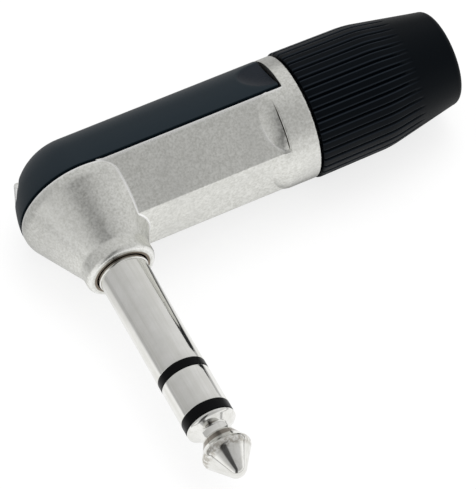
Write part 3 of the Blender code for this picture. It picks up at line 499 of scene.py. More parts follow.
# %% Head outline
RIM_RADIUS, RIM_Z, RIM_HEIGHT = 8.45, -0.50, 0.45
HEAD_CURVE, HEAD_SLOPE = 2.75, 25.3
COLLAR_RADIUS, COLLAR_LENGTH, COLLAR_FILLET, COLLAR_ROUND = 4.62, 2.03, 1.2, 0.70
slope = math.radians(HEAD_SLOPE)
cone_top_r = RIM_RADIUS - HEAD_CURVE * (1 - math.cos(slope))
cone_top_z = RIM_Z - RIM_HEIGHT - HEAD_CURVE * math.sin(slope)
cone_end_z = cone_top_z - (cone_top_r - COLLAR_RADIUS) / math.tan(slope)
FACE_Z = cone_end_z - COLLAR_LENGTH
hollow_reach = COLLAR_FILLET * math.tan(slope / 2)
EASE = 0.13                 # rounding of the rim's outer edge
ease_levels = RIM_Z - EASE + EASE * np.sin(np.radians([90, 70, 50, 30, 15, 0]))
head_line = np.concatenate([
    np.stack([np.full(6, RIM_RADIUS), ease_levels], axis=-1),
    line((RIM_RADIUS, RIM_Z - EASE), (RIM_RADIUS, RIM_Z - RIM_HEIGHT), 4)[1:],
    arc(HEAD_CURVE, (RIM_RADIUS - HEAD_CURVE, RIM_Z - RIM_HEIGHT), 0, -HEAD_SLOPE, 18)[1:],
    line((cone_top_r, cone_top_z), (COLLAR_RADIUS + hollow_reach * math.sin(slope),
                                    cone_end_z + hollow_reach * math.cos(slope)), 60)[1:-1],
    arc(COLLAR_FILLET, (COLLAR_RADIUS + COLLAR_FILLET, cone_end_z - hollow_reach),
        180 - HEAD_SLOPE, 180, 10),
    line((COLLAR_RADIUS, cone_end_z - hollow_reach), (COLLAR_RADIUS, FACE_Z + COLLAR_ROUND), 5)[1:],
    arc(COLLAR_ROUND, (COLLAR_RADIUS - COLLAR_ROUND, FACE_Z + COLLAR_ROUND), 0, -90, 14)[1:],
    line((COLLAR_RADIUS - COLLAR_ROUND, FACE_Z), (0.0, FACE_Z), 3)[1:]])
head_run = np.concatenate([[0.0], np.cumsum(np.hypot(*np.diff(head_line, axis=0).T))])


def head_at(run):
    """Radius and level of the head's outline at a length along it."""
    return np.interp(run, head_run, head_line[:, 0]), np.interp(run, head_run, head_line[:, 1])


def head_run_at(level):
    """Length along the outline at a level, above the collar's face."""
    return np.interp(-level, -head_line[:-3, 1], head_run[:-3])


def rim_shift(level):
    """How far the rounded rim edge draws a point inwards: e - sqrt(e^2 - h^2), h up its round."""
    height = np.clip(level - (RIM_Z - EASE), 0.0, EASE)
    return EASE - np.sqrt(EASE ** 2 - height ** 2)


print("head outline:", len(head_line), "points, face at", round(FACE_Z, 3), "mm")

# %% [markdown]
# ## The barrel's section and the fillet round the head
# The barrel is a trough: two leaning side flats and a bottom flat, with rounded corners between
# them. Where it runs into the cone a rolling fillet catches a thin line of light. For each point
# of the section, the fillet is a circle in the plane that holds the barrel's direction and a
# direction m, which is level on the side flats and straight down on the bottom. Its centre is
# the furthest one along x at which the circle still touches the cone.

# %% Barrel section
FLAT_TOP, FLAT_LOW_Z, FLAT_LEAN, FLAT_CORNER = 8.21, -7.17, 33.472, 0.32
lean = math.radians(FLAT_LEAN)
corner_y = FLAT_TOP + (FLAT_LOW_Z - RIM_Z) * math.tan(lean)
tangent = FLAT_CORNER * math.tan((math.pi / 2 - lean) / 2)
start_z = FLAT_LOW_Z + tangent * math.cos(lean)
flat_levels = np.concatenate([ease_levels, np.linspace(RIM_Z - EASE, start_z, 44)[1:]])
side_flat = np.stack([FLAT_TOP + (flat_levels - RIM_Z) * math.tan(lean), flat_levels], axis=-1)
round_corner = arc(FLAT_CORNER, (corner_y - tangent, FLAT_LOW_Z + FLAT_CORNER), -FLAT_LEAN, -90, 16)
half_bottom = line((corner_y - tangent, FLAT_LOW_Z), (0.0, FLAT_LOW_Z), 16)
half_section = np.concatenate([side_flat, round_corner[1:], half_bottom[1:]])
across = np.concatenate([np.zeros(len(side_flat)), np.linspace(0, 90, 17)[1:],
                         np.full(16, 90.0)])
fillet = np.interp(-half_section[:, 1], [0.5, 6.9, 7.2], [1.1, 0.50, 0.42])
section = np.concatenate([half_section, half_section[-2::-1] * (-1, 1)])
turn = np.radians(np.concatenate([across, 180 - across[-2::-1]]))
fillet = np.concatenate([fillet, fillet[-2::-1]])[:, None]
sec_y, sec_z = section[:, :1], section[:, 1:]
m_y, m_z = np.cos(turn)[:, None], -np.sin(turn)[:, None]

reach = np.linspace(0, 2, 1201)[None, :] * fillet
cone_r = np.interp(-(sec_z + m_z * reach), -head_line[:-3, 1], head_line[:-3, 0])
cone_x = np.sqrt(np.clip(cone_r ** 2 - (sec_y + m_y * reach) ** 2, 0.0, None))
touching = cone_x + np.sqrt(np.clip(fillet ** 2 - (reach - fillet) ** 2, 0.0, None))
best = np.argmax(touching, axis=1)[:, None]
middle_x = np.take_along_axis(touching, best, axis=1)
touch_t = np.take_along_axis(reach, best, axis=1)
touch_x = np.take_along_axis(cone_x, best, axis=1)
touch_angle = np.arctan2(touch_t - fillet, touch_x - middle_x) % (2 * np.pi)
FILLET_ROWS = 9
sweep = touch_angle + (1.5 * np.pi - touch_angle) * np.linspace(0, 1, FILLET_ROWS)[None, :]
print("barrel section:", len(section), "points, fillet starts at x",
      round(float(middle_x[0, 0]), 2), "by the rim and", round(float(middle_x.max()), 2), "below")

# %% [markdown]
# ## The housing's skin
# The skin is three sheets that share their edges. The head's sheet has a column for each angle
# round the plug and a row for each step down its outline; under the barrel each column starts
# at the fillet instead of at the rim. The barrel's sheet has a column for each point of the
# section, and its rows run along the fillet, the flats, the domed shoulder and the ring. The
# third sheet closes the ring's upper half behind the cover. A thin dark step shows between the
# shoulder and the ring on each side flat only, so its depth is a share that fades round the
# section. Flat lids close the ends, ready for the rooms to be cut into it.

# %% Shoulder and ring along the barrel
SHOULDER_X, DOME_END, DOME_LOW_END, DOME_DROP, DOME_POWER = 25.30, 8.12, 8.0, 0.273, 1.68
RING_R, LEDGE_X, RING_END, RING_EDGE = 8.25, 27.45, 29.40, 0.22
arc_x = middle_x + fillet * np.cos(sweep)
arc_t = fillet + fillet * np.sin(sweep)
arc_y, arc_z = sec_y + m_y * arc_t, sec_z + m_z * arc_t
ease = rim_shift(sec_z)
arc_x, arc_y = arc_x - ease * np.cos(sweep), arc_y - ease * np.sin(sweep) * m_y
touch_y, touch_z = sec_y + m_y * touch_t, sec_z + m_z * touch_t
touch_r = np.hypot(touch_x, touch_y)
arc_x[:, :1], arc_y[:, :1] = touch_x * (1 - ease / touch_r), touch_y * (1 - ease / touch_r)
arc_z[:, :1] = touch_z

flat_y = sec_y - ease * np.sign(sec_y)
span = np.hypot(flat_y, sec_z)
stepped = np.interp(-sec_z, [1.6, 3.8, 6.85, 7.14], [0, 1, 1, 0])
dome_end = RING_R + (np.interp(-sec_z, [5.0, 6.9], [DOME_END, DOME_LOW_END]) - RING_R) * stepped
dome_x = SHOULDER_X - (np.clip(dome_end - span, 0, None) / DOME_DROP) ** (1 / DOME_POWER)
along = middle_x + (dome_x - middle_x) * np.append(np.linspace(0, 0.985, 32), 1.0)[None, 1:]
climb = np.linspace(0, 1, 13)[None, 1:]
bulge_x = dome_x + (SHOULDER_X - dome_x) * climb
climb = 0.5 * climb + 0.5 * (1 - (1 - climb) ** DOME_POWER)
bulge = 1 + np.clip(dome_end - span, 0, None) * climb / span
step_x = np.array([[25.335, 25.36, 25.40, 25.44, 25.50, 25.58]])
step_r = RING_R - stepped * (RING_R - np.array([[8.08, 8.00, 8.00, 8.17, 8.225, 8.245]]))
end_round = np.radians(np.linspace(0, 90, 6))[None, 1:]
ring_x = np.concatenate([np.linspace(25.8, 27.40, 6)[None], LEDGE_X + 0.12 * np.array(
    [[0, 0.134, 0.5, 1.0]]), np.linspace(27.8, RING_END - RING_EDGE, 6)[None],
    RING_END - RING_EDGE + RING_EDGE * np.sin(end_round)], axis=1)
ring_r = RING_R - RING_EDGE * (1 - np.cos(end_round))
ring_r = np.concatenate([np.full((1, 16), RING_R), ring_r], axis=1)
tail_x = np.concatenate([step_x, ring_x], axis=1) + 0 * span
tail_r = np.concatenate([step_r, ring_r + 0 * span], axis=1) / np.hypot(sec_y, sec_z)
tail_ease = ease * (tail_x < LEDGE_X - 0.01)
rows_x = np.concatenate([arc_x, along, bulge_x, tail_x], axis=1)
rows_y = np.concatenate([arc_y, flat_y + 0 * along, flat_y * bulge,
                         sec_y * tail_r - tail_ease * np.sign(sec_y)], axis=1)
rows_z = np.concatenate([arc_z, sec_z + 0 * along, sec_z * bulge, sec_z * tail_r], axis=1)
rows_z[[0, -1]] = RIM_Z
CLOSED_ROWS = 15            # rows from the ledge to the ring's end, which also go round its back
for end in (0, -1):
    rows_y[end, -CLOSED_ROWS:] = np.sign(rows_y[end, -CLOSED_ROWS:]) * np.sqrt(
        ring_r[0, -CLOSED_ROWS:] ** 2 - RIM_Z ** 2)
print("barrel sheet:", rows_x.shape, "ring from", LEDGE_X, "to", RING_END, "mm")

EDGE_BAND = 0.26            # width of the painted highlight along the upper edge
DOME_ROW = FILLET_ROWS + along.shape[1] - 1
# Painted highlights: a band along the upper edge, the fillet's middle, a line where the shoulder's
# dome starts low on the side flats, and the ring's rounded end.
barrel_highlight = np.clip(1.5 - (RIM_Z - rows_z) / EDGE_BAND, 0, 1) * (rows_x < LEDGE_X)
barrel_highlight[:, :FILLET_ROWS] += np.sin(np.pi * np.linspace(0, 1, FILLET_ROWS)) \
    * np.interp(-sec_z, [0.5, 4.0], [0.45, 1.0])
barrel_highlight[:, DOME_ROW] += (0.6 * np.interp(-sec_z, [3.0, 5.0], [0.0, 1.0]) * stepped)[:, 0]
barrel_highlight[:, -4:-1] += 0.8

# %% [markdown]
# ## Welding the three sheets
# The barrel's sheet starts on the line where the fillet touches the cone, and the head's sheet
# takes its angles and levels from that same line, so the two share their points and weld without
# a gap. The sheet behind the cover is an arc of the ring, lowered a little at its front so that
# the cover's end has air in front of it.

# %% Skin of three sheets
barrel_sheet = to_frame(rows_x, rows_y, rows_z)
foot_angle = np.arctan2(touch_y, touch_x)[:, 0]
foot_run = head_run_at(touch_z[:, 0])
around = np.linspace(foot_angle[0], 2 * np.pi + foot_angle[-1], 150)
angles = np.concatenate([foot_angle[::-1], around[1:-1]])[None, :]
tops = np.concatenate([foot_run[::-1], 0 * around[1:-1]])[None, :]
head_r, head_z = head_at(np.maximum(head_run[:, None], tops))
head_r = head_r - rim_shift(head_z)
head_sheet = to_frame(head_r * np.cos(angles), head_r * np.sin(angles), head_z)
# Painted highlights along the rim's edge and round the collar's lip.
head_highlight = np.clip(1.5 - (RIM_Z - head_z) / EDGE_BAND, 0, 1) \
    + 0.6 * np.clip(1 - (head_z - FACE_Z) / 0.35, 0, 1) * np.clip((head_r - 4.0) / 0.2, 0, 1)

crown = np.linspace(0, 1, 97)[:, None]
lowered = np.array([0.12, 0.06, 0.0161] + [0.0] * (CLOSED_ROWS - 3))[None] * np.clip(
    np.minimum(crown, 1 - crown) / 0.04, 0, 1)
crown_r = ring_r[:, -CLOSED_ROWS:] - lowered
low_angle = np.arcsin(RIM_Z / ring_r[:, -CLOSED_ROWS:])
crown_a = low_angle + (np.pi - 2 * low_angle) * crown
crown_sheet = to_frame(ring_x[:, -CLOSED_ROWS:] + 0 * crown, crown_r * np.cos(crown_a),
                       crown_r * np.sin(crown_a))
# A painted highlight on the ring's rounded end, as on the barrel's sheet.
crown_highlight = np.zeros(crown_sheet.shape[:2])
crown_highlight[:, -4:-1] = 0.8

rim_back = (RIM_RADIUS - EASE) * np.stack([np.cos(around), np.sin(around)], axis=-1)
ledge = rows_x.shape[1] - CLOSED_ROWS + 1
one_side = np.stack([rows_x[0, :ledge], rows_y[0, :ledge]], axis=-1)
other_side = np.stack([rows_x[-1, :ledge], rows_y[-1, :ledge]], axis=-1)
rim_loop = np.concatenate([rim_back[:-1], other_side, one_side[::-1]])
rim_loop = rim_loop[np.hypot(*(rim_loop - np.roll(rim_loop, 1, axis=0)).T) > 1e-5]
top_lid = to_frame(rim_loop[:, 0], rim_loop[:, 1], RIM_Z)
end_lid = np.concatenate([barrel_sheet[:, -1], crown_sheet[::-1, -1][1:-1]])
housing = shell("housing_body", [(head_sheet, False, True), (barrel_sheet, False, False),
                                 (crown_sheet, False, False)],
                [top_lid, crown_sheet[:, 0], end_lid], 24.0, (head_highlight, barrel_highlight, crown_highlight))

# %% [markdown]
# ## Rooms and latch
# The head's room, the trough, the plug's bore, the doorway to the cable and the tail's seat are
# cut out of the casting with exact booleans, because they meet in sharp machined edges anyway.
# Each cutter reaches a little past the surface that it opens. The latch pin stands on a post
# inside the nose, joined by a neck that leans with it.

# %% Rooms and latch
BARREL_WALL, HEAD_WALL, FLOOR_Z, MOUTH = 1.30, 1.15, -6.20, 5.0
PAST = 1.0                  # how far cutters reach past the casting
BORE_R, DOOR_R, SEAT_R, SEAT_X = 3.45, 4.6, 6.85, 27.75
inner_low = FLAT_LOW_Z + BARREL_WALL
head_room = turned("head_room", [(0.0, PAST), (RIM_RADIUS - HEAD_WALL, PAST),
                                 (RIM_RADIUS - HEAD_WALL, -1.75), (6.55, -3.35),
                                 (MOUTH, FLOOR_Z), (0.0, FLOOR_Z)], "z", 96, ring=False)


def trough_half(level):
    """Half width of the trough inside the barrel's wall at a level."""
    return FLAT_TOP - BARREL_WALL / math.cos(lean) + (level - RIM_Z) * math.tan(lean)


trough_x = np.array([[0.0], [26.25]])
trough_y = np.array([[-trough_half(PAST), -trough_half(inner_low), trough_half(inner_low),
                      trough_half(PAST)]])
trough_z = np.array([[PAST, inner_low, inner_low, PAST]])
trough_sheet = to_frame(trough_x, trough_y, trough_z)
trough = shell("trough", [(trough_sheet, False, True)], [trough_sheet[0], trough_sheet[1]])
plug_bore = turned("plug_bore", [(0.0, FACE_Z - PAST), (BORE_R, FACE_Z - PAST),
                                 (BORE_R, FLOOR_Z + PAST), (0.0, FLOOR_Z + PAST)], "z", ring=False)
doorway = turned("doorway", [(0.0, 22.0), (DOOR_R, 22.0), (DOOR_R, SEAT_X), (SEAT_R, SEAT_X),
                             (SEAT_R, RING_END + PAST), (0.0, RING_END + PAST)], "x", ring=False)
carve(housing, [head_room, trough, plug_bore, doorway], sharp=24.0)

LATCH_ANGLE, LATCH_REACH, PIN_R, PIN_HALF, PIN_EDGE = 31.2, 7.88, 0.50, 2.50, 0.15
pin_x = -LATCH_REACH * math.cos(math.radians(LATCH_ANGLE))
pin_z = LATCH_REACH * math.sin(math.radians(LATCH_ANGLE))
pin_line = np.concatenate([
    [(0.0, -PIN_HALF)], arc(PIN_EDGE, (PIN_R - PIN_EDGE, PIN_EDGE - PIN_HALF), -90, 0, 4),
    arc(PIN_EDGE, (PIN_R - PIN_EDGE, PIN_HALF - PIN_EDGE), 0, 90, 4), [(0.0, PIN_HALF)]])
pin_turn = np.linspace(0, 2 * np.pi, 32, endpoint=False)[None, :]
pin_sheet = to_frame(pin_x + pin_line[:, :1] * np.cos(pin_turn), pin_line[:, 1:] + 0 * pin_turn,
                     pin_z + pin_line[:, :1] * np.sin(pin_turn))
pin = shell("latch_pin", [(pin_sheet, False, True)])
POST_X, POST_HALF, POST_LOW, NECK_HALF = -4.1, 2.2, -2.5, 2.1
neck = block("latch_neck", (-2.2, -NECK_HALF, -0.3), (0.0, NECK_HALF, 0.3), 180 + LATCH_ANGLE,
             (pin_x, pin_z))
post = block("latch_post", (POST_X - 1.0, -POST_HALF, POST_LOW), (POST_X, POST_HALF, pin_z - 0.35))
foot = block("latch_foot", (-7.55, -POST_HALF, POST_LOW), (POST_X, POST_HALF, POST_LOW + 1.0))
carve(housing, [post, foot, neck, pin], "UNION", 24.0)
housing.data.materials.append(satin)
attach(housing, "plug_body")
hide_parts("housing")
held = np.zeros(len(housing.data.vertices), np.float32)
housing.data.attributes["highlight_and_scoop"].data.foreach_get("value", held)
print("housing:", len(housing.data.polygons), "faces, highlighted points:", int((held > 0.5).sum()))

# %% [markdown]
# ## Threaded tail
# The tail is a plated tube, pressed into the casting, that the bushing screws onto. Its thread is
# one helix: the radius at a point is a triangle wave of its place along the axis less its share
# of a turn, so the ridge climbs one pitch for each turn. The wave fades out near both ends.

# %% Threaded tail
TAIL_R, TAIL_BORE, TAIL_START, TAIL_END, PITCH = 6.55, 5.45, 28.05, 40.20, 1.0
THREAD_DEPTH, THREAD_START, TAIL_EDGE = 0.45, 29.6, 0.25
steps_x = np.linspace(TAIL_START, TAIL_END, 221)[:, None]
turn_a = np.linspace(0, 2 * np.pi, 96, endpoint=False)[None, :]
wave = np.abs(((steps_x / PITCH - turn_a / (2 * np.pi)) % 1.0) - 0.5) * 2
cut = np.clip((0.78 - wave) / 0.56, 0, 1)
fade = np.clip((steps_x - THREAD_START) / 0.5, 0, 1) \
    * np.clip((TAIL_END - 0.2 - steps_x) / 0.4, 0, 1)
tail_r = TAIL_R - THREAD_DEPTH * cut * fade \
    - TAIL_EDGE * np.clip((steps_x - TAIL_END + TAIL_EDGE) / TAIL_EDGE, 0, 1)
outside = to_frame(steps_x + 0 * turn_a, tail_r * np.cos(turn_a), tail_r * np.sin(turn_a))
inner_x = np.array([[TAIL_END], [TAIL_START]])
inside = to_frame(inner_x + 0 * turn_a, TAIL_BORE * np.cos(turn_a) + 0 * inner_x,
                  TAIL_BORE * np.sin(turn_a) + 0 * inner_x)
tail = shell("threaded_tube", [(np.concatenate([outside, inside]), True, True)])
tail.data.materials.append(satin)
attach(tail, "plug_body")
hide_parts("threaded_tail")

# %% [markdown]
# ## Back cover
# The cover is a half pipe that ends in a quarter ball. Its sheet follows the path of a
# semicircle: first swung about the cross axis for the nose, then pushed along the barrel. A
# thumb scoop is hollowed out of each side of the open end, where the radius is held down to a
# flattened ball's near side, and a soft lower-of-two rounds the scoop's rim. Low on the nose the
# skin flares out until it is flush with the casting's rim. A short upright band finishes the
# edge, and Solidify gives the wall. Two small blocks cut the slot that the latch pin turns in
# and the dish round it.

# %% Back cover
COVER_R, COVER_WALL, COVER_EDGE_Z, COVER_END = 8.28, 1.20, -0.15, 27.15
SCOOP_ANGLE, SCOOP_LONG, SCOOP_WIDE, SCOOP_THICK, SCOOP_DEEP = 68.0, 6.2, 8.3, 3.0, 0.75
SCOOP_SOFT = 0.035          # rounding between the scoop and the cover's skin
FLARE, FLARE_HEIGHT = 0.17, 2.2    # how the nose's edge swells out until it is flush with the rim


def scooped(x, angle):
    """Cover radius at x and an angle from the crown, less the scoop: the near root of the ball."""
    off = np.abs(angle) - math.radians(SCOOP_ANGLE)
    away = COVER_R + SCOOP_THICK - SCOOP_DEEP
    a = np.cos(off) ** 2 / SCOOP_THICK ** 2 + np.sin(off) ** 2 / SCOOP_WIDE ** 2
    b = away * np.cos(off) / SCOOP_THICK ** 2
    c = (away / SCOOP_THICK) ** 2 + ((x - COVER_END) / SCOOP_LONG) ** 2 - 1
    inside = b * b - a * c
    near = (b - np.sqrt(np.clip(inside, 0, None))) / a
    near = np.where((inside > 0) & (near > 0), near, COVER_R + 1)
    return (COVER_R + near - np.sqrt((COVER_R - near) ** 2 + SCOOP_SOFT ** 2)) / 2


swing = np.radians(np.linspace(90, 0, 33))[:, None]
rows = np.concatenate([np.linspace(0, 20, 21), np.linspace(20, COVER_END, 49)[1:]])[:, None]
fan = np.radians(np.linspace(-90, 90, 121))[None, :]
cover_r = scooped(rows[1:], fan)
skin_x = np.concatenate([-COVER_R * np.cos(fan) * np.sin(swing), rows[1:] + 0 * fan])
skin_y = np.concatenate([COVER_R * np.sin(fan) + 0 * swing, cover_r * np.sin(fan)])
skin_z = np.concatenate([COVER_R * np.cos(fan) * np.cos(swing), cover_r * np.cos(fan)])
flare = 1 + FLARE / COVER_R * np.clip(1 - skin_z / FLARE_HEIGHT, 0, 1) ** 1.5 \
    * np.clip(1 - skin_x / FLARE_HEIGHT, 0, 1)
skin = to_frame(np.where(skin_x < 0, skin_x * flare, skin_x), skin_y * flare, skin_z)
edge = np.concatenate([skin[::-1, 0], skin[0], skin[:, -1]])
drop = np.array([0.0, COVER_EDGE_Z / 2, COVER_EDGE_Z])[:, None, None] * np.array([0, MM, 0])
thumb = np.clip((COVER_R - 0.04 - np.hypot(skin_y, skin_z)) / 0.08, 0, 1) * (skin_x > 0)
cover = shell("cover_shell", [(skin, False, False), (edge[None] + drop, False, False)],
              highlight_and_scoop=(thumb,))
wall = cover.modifiers.new("wall", "SOLIDIFY")
wall.thickness = COVER_WALL * MM
wall.offset = -1.0
wall.use_even_offset = True
SLOT_WIDE, SLOT_HIGH = PIN_HALF + 0.35, PIN_R + 0.30
DISH_WIDE, DISH_HIGH, DISH_FLOOR = 2.7, 1.7, 0.03
carve(cover, [block("slot", (-2.2, -SLOT_WIDE, -SLOT_HIGH), (1.8, SLOT_WIDE, SLOT_HIGH),
                    LATCH_ANGLE, (pin_x, pin_z)),
              block("dish", (-2.2, -DISH_WIDE, -DISH_HIGH), (DISH_FLOOR, DISH_WIDE, DISH_HIGH),
                    LATCH_ANGLE, (pin_x, pin_z))])
soften(cover, 0.10)
print("cover's skin:", skin.shape[:2], "points, deepest scoop",
      round(float(COVER_R - cover_r.min()), 2), "mm")

# %% [markdown]
# ## End wall and skirts
# Inside, an end wall stiffens the open end, and two thin skirts reach down between the trough's
# walls and keep the cover from sliding sideways. They are plain prisms along the barrel. Their
# edges end in the middle of the cover's wall, so they are simply added to its mesh: a boolean
# trips there, because the wall's inner face folds under the sharp rim of the scoop.

# %% End wall and skirts
SKIRT_GAP, SKIRT_WALL, SKIRT_LOW, SKIRT_START = 0.30, 0.80, -1.50, 7.0
END_INSET = 0.6             # the end wall's edge, inside the shell's skin


def bar(name, outline, x_low, x_high):
    """A closed outline of points (y, z) pushed along the barrel between two x."""
    y, z = np.asarray(outline, float).T
    sheet = to_frame(np.array([[x_low], [x_high]]), y, z)
    return shell(name, [(sheet, False, True)], [sheet[0], sheet[1]])


def let_in(piece, extras):
    """Add closed solids, whose edges lie inside a piece's wall, to its mesh and delete them."""
    work = bmesh.new()
    work.from_mesh(piece.data)
    for extra in extras:
        work.from_mesh(extra.data)
        bpy.data.objects.remove(extra, do_unlink=True)
    work.to_mesh(piece.data)
    work.free()


def skirt_half(inset, level):
    """Half width, at a level, of a leaning face set in from the trough's own face."""
    return trough_half(level) - inset / math.cos(lean)


levels = np.linspace(0, 3, 3001)
root = levels[np.argmin(np.abs(np.hypot(skirt_half(SKIRT_GAP, levels), levels)
                               - (COVER_R - COVER_WALL / 2)))]
skirt = np.array([(skirt_half(SKIRT_GAP, root), root),
                  (skirt_half(SKIRT_GAP, SKIRT_LOW), SKIRT_LOW),
                  (skirt_half(SKIRT_GAP + SKIRT_WALL, SKIRT_LOW), SKIRT_LOW),
                  (skirt_half(SKIRT_GAP + SKIRT_WALL, root), root)])
wall_r = cover_r[-1] - END_INSET
end_wall = np.stack([wall_r * np.sin(fan[0]), wall_r * np.cos(fan[0])], axis=-1)
end_wall[[0, -1], 1] = COVER_EDGE_Z
inner_end = COVER_END - COVER_WALL
let_in(cover, [bar("end_wall", end_wall, inner_end, COVER_END - 0.02)]
       + [bar("skirt", skirt * (way, 1), SKIRT_START, inner_end + 0.2) for way in (-1, 1)])
print("cover:", len(cover.data.polygons), "faces, skirts rooted at", round(float(root), 2), "mm")
cover.data.materials.append(cover_black)
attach(cover, "cover")
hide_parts("back_cover")

# %% [markdown]
# ## Bushing
# The bushing is a screw-on nut with a long taper. Its outline is a radius for each x, and the
# thirty-six flutes are a second function that is taken off it: a rounded groove across each
# pitch, half a cosine wave deep, full depth along the skirt and running out on the taper. The
# same function places a painted highlight along the flutes' edges. The bore goes back inside, so
# the sheet closes on itself both ways.

# %% Bushing
NUT_R, NUT_START, BEND_X, NUT_END = 8.45, 29.70, 38.60, 50.85
BEND_R, TAPER, END_ROUND = 14.0, math.radians(10.9), 0.90
FLUTES, FLUTE_DEPTH, FLUTE_HALF, FLUTE_END, FLUTE_FADE = 36, 0.32, 0.20, 44.7, 2.8
NUT_EASE, NUT_DRAFT = 0.25, 0.10
taper_r = (NUT_R - NUT_DRAFT) - BEND_R * (1 - math.cos(TAPER))
taper_x = BEND_X + BEND_R * math.sin(TAPER)
round_x = NUT_END - END_ROUND
end_r = taper_r - (round_x - taper_x) * math.tan(TAPER)
front = np.radians([0, 22, 45, 68, 90])
nut_line = np.concatenate([
    np.stack([NUT_R - NUT_EASE + NUT_EASE * np.sin(front),
              NUT_START + NUT_EASE - NUT_EASE * np.cos(front)], axis=-1),
    line((NUT_R, NUT_START + NUT_EASE), (NUT_R - NUT_DRAFT, BEND_X), 10)[1:],
    arc(BEND_R, (NUT_R - NUT_DRAFT - BEND_R, BEND_X), 0, math.degrees(TAPER), 10)[1:],
    line((taper_r, taper_x), (end_r, round_x), 50)[1:],
    arc(END_ROUND, (end_r - END_ROUND, round_x), 0, 90, 8)[1:]])
pitch = np.linspace(0, FLUTES, FLUTES * 18, endpoint=False)[None, :]
beside = np.abs((pitch % 1.0) - 0.5)
groove = 0.5 + 0.5 * np.cos(np.pi * np.clip(beside / FLUTE_HALF, 0, 1))
line_x = nut_line[:, 1:]
share = np.clip((line_x - NUT_START) / 0.05, 0, 1) \
    * np.clip((FLUTE_END - line_x) / FLUTE_FADE, 0, 1) ** 0.8
nut_r = nut_line[:, :1] - FLUTE_DEPTH * share * groove
# Painted highlight along both edges of each flute.
nut_highlight = np.clip(1 - np.abs(beside - FLUTE_HALF) / 0.06, 0, 1) * share
nut_a = 2 * np.pi * pitch / FLUTES
nut_outside = to_frame(line_x + 0 * nut_a, nut_r * np.cos(nut_a), nut_r * np.sin(nut_a))
NUT_BORE, CONE_X, THREAD_X, THREAD_R = 3.7, 45.6, 41.2, 6.95
bore_line = np.array([(4.3, NUT_END), (NUT_BORE, NUT_END - 0.6), (NUT_BORE, CONE_X),
                      (4.35, CONE_X), (TAIL_BORE, THREAD_X), (THREAD_R, THREAD_X),
                      (THREAD_R, NUT_START)])
nut_inside = to_frame(bore_line[:, 1:] + 0 * nut_a, bore_line[:, :1] * np.cos(nut_a),
                      bore_line[:, :1] * np.sin(nut_a))
nut = shell("fluted_bushing", [(np.concatenate([nut_outside, nut_inside]), True, True)], sharp=50,
            highlight_and_scoop=(nut_highlight,))
nut.data.materials.append(nut_black)
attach(nut, "bushing")
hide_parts("bushing")

# %% [markdown]
# ## Plug
# The sleeve, ring and tip, with the two insulators between them, are turned about the plug's
# axis from fine profiles, as a lathe would make them. Their sizes are a standard, so that the
# springs of any socket find them. Inside, each one carries on as a thin tube up to its solder
# lug, one nested in the next.

# %% Plug contacts and insulators
PLUG_R, SHANK_R, FLANGE_R, SLEEVE_BORE, PLUG_EASE = 3.175, 3.30, 4.70, 2.40, 0.06
SLEEVE_END, RING_TOP, RING_LOW, TIP_TOP = -27.87, -29.03, -34.22, -35.67
GAP = 0.06


def tube_ring(name, bore, tube, low, high, top):
    """A flush ring of the plug with its thin tube up to a level inside the head."""
    eased = PLUG_R - PLUG_EASE
    profile = np.concatenate([[(bore, top), (tube, top), (tube, high)],
                              arc(PLUG_EASE, (eased, high - PLUG_EASE), 90, 0, 3),
                              line((PLUG_R, high - PLUG_EASE), (PLUG_R, low + PLUG_EASE), 6)[1:-1],
                              arc(PLUG_EASE, (eased, low + PLUG_EASE), 0, -90, 3), [(bore, low)]])
    return turned(name, profile, "z", 160)


CREST_ROUND, CREST_R, CREST_Z = 0.85, 2.31, -39.948
CREST_IN = CREST_R + CREST_ROUND * math.cos(math.radians(45))
CREST_TOP = CREST_Z + CREST_ROUND * math.sin(math.radians(45))
tip_line = np.concatenate([
    [(0.0, -2.4), (0.75, -2.4), (0.75, TIP_TOP - GAP), (PLUG_R - 0.05, TIP_TOP - GAP),
     (PLUG_R, TIP_TOP - GAP - 0.05)],
    arc(0.12, (PLUG_R - 0.12, TIP_TOP - GAP - 0.23), 0, -40, 3),
    line((PLUG_R - 0.15, TIP_TOP - 0.50), (2.12, -36.80), 10),
    arc(0.22, (2.22, -37.00), 150, 180, 3),
    line((2.0, -37.05), (2.0, -37.70), 3),
    line((2.12, -37.95), (CREST_IN, CREST_TOP), 10),
    arc(CREST_ROUND, (CREST_R, CREST_Z), 43, -37, 14),
    arc(1.35, (0.0, -42.25), -37, -90, 14)])
sleeve_line = np.concatenate([
    [(SLEEVE_BORE, -5.3), (FLANGE_R, -5.3), (FLANGE_R, -5.9), (SHANK_R, -5.9)],
    line((SHANK_R, -6.0), (SHANK_R, -12.10), 6), [(SHANK_R - 0.05, -12.17), (PLUG_R, -12.20)],
    line((PLUG_R, -12.25), (PLUG_R, SLEEVE_END + PLUG_EASE), 12),
    arc(PLUG_EASE, (PLUG_R - PLUG_EASE, SLEEVE_END + PLUG_EASE), 0, -90, 3)[1:],
    [(SLEEVE_BORE, SLEEVE_END)]])
pieces = [
    (turned("tip_piece", tip_line, "z", 160, ring=False), "tip_contact", bright, "bright_nickel"),
    (tube_ring("tip_insulator_piece", 0.90, 1.25, TIP_TOP, RING_LOW - GAP, -2.8),
     "tip_insulator", ring_black, "insulator_plastic"),
    (tube_ring("ring_piece", 1.40, 1.75, RING_LOW, RING_TOP - GAP, -3.1),
     "ring_contact", bright, "bright_nickel"),
    (tube_ring("ring_insulator_piece", 1.90, 2.25, RING_TOP, SLEEVE_END - GAP, -4.0),
     "ring_insulator", ring_black, "insulator_plastic"),
    (turned("sleeve_piece", sleeve_line, "z", 160), "sleeve_contact", bright, "bright_nickel")]
for piece, node, material, slot_name in pieces:
    piece.data.materials.append(material)
    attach(piece, "plug_body")
    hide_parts(node)

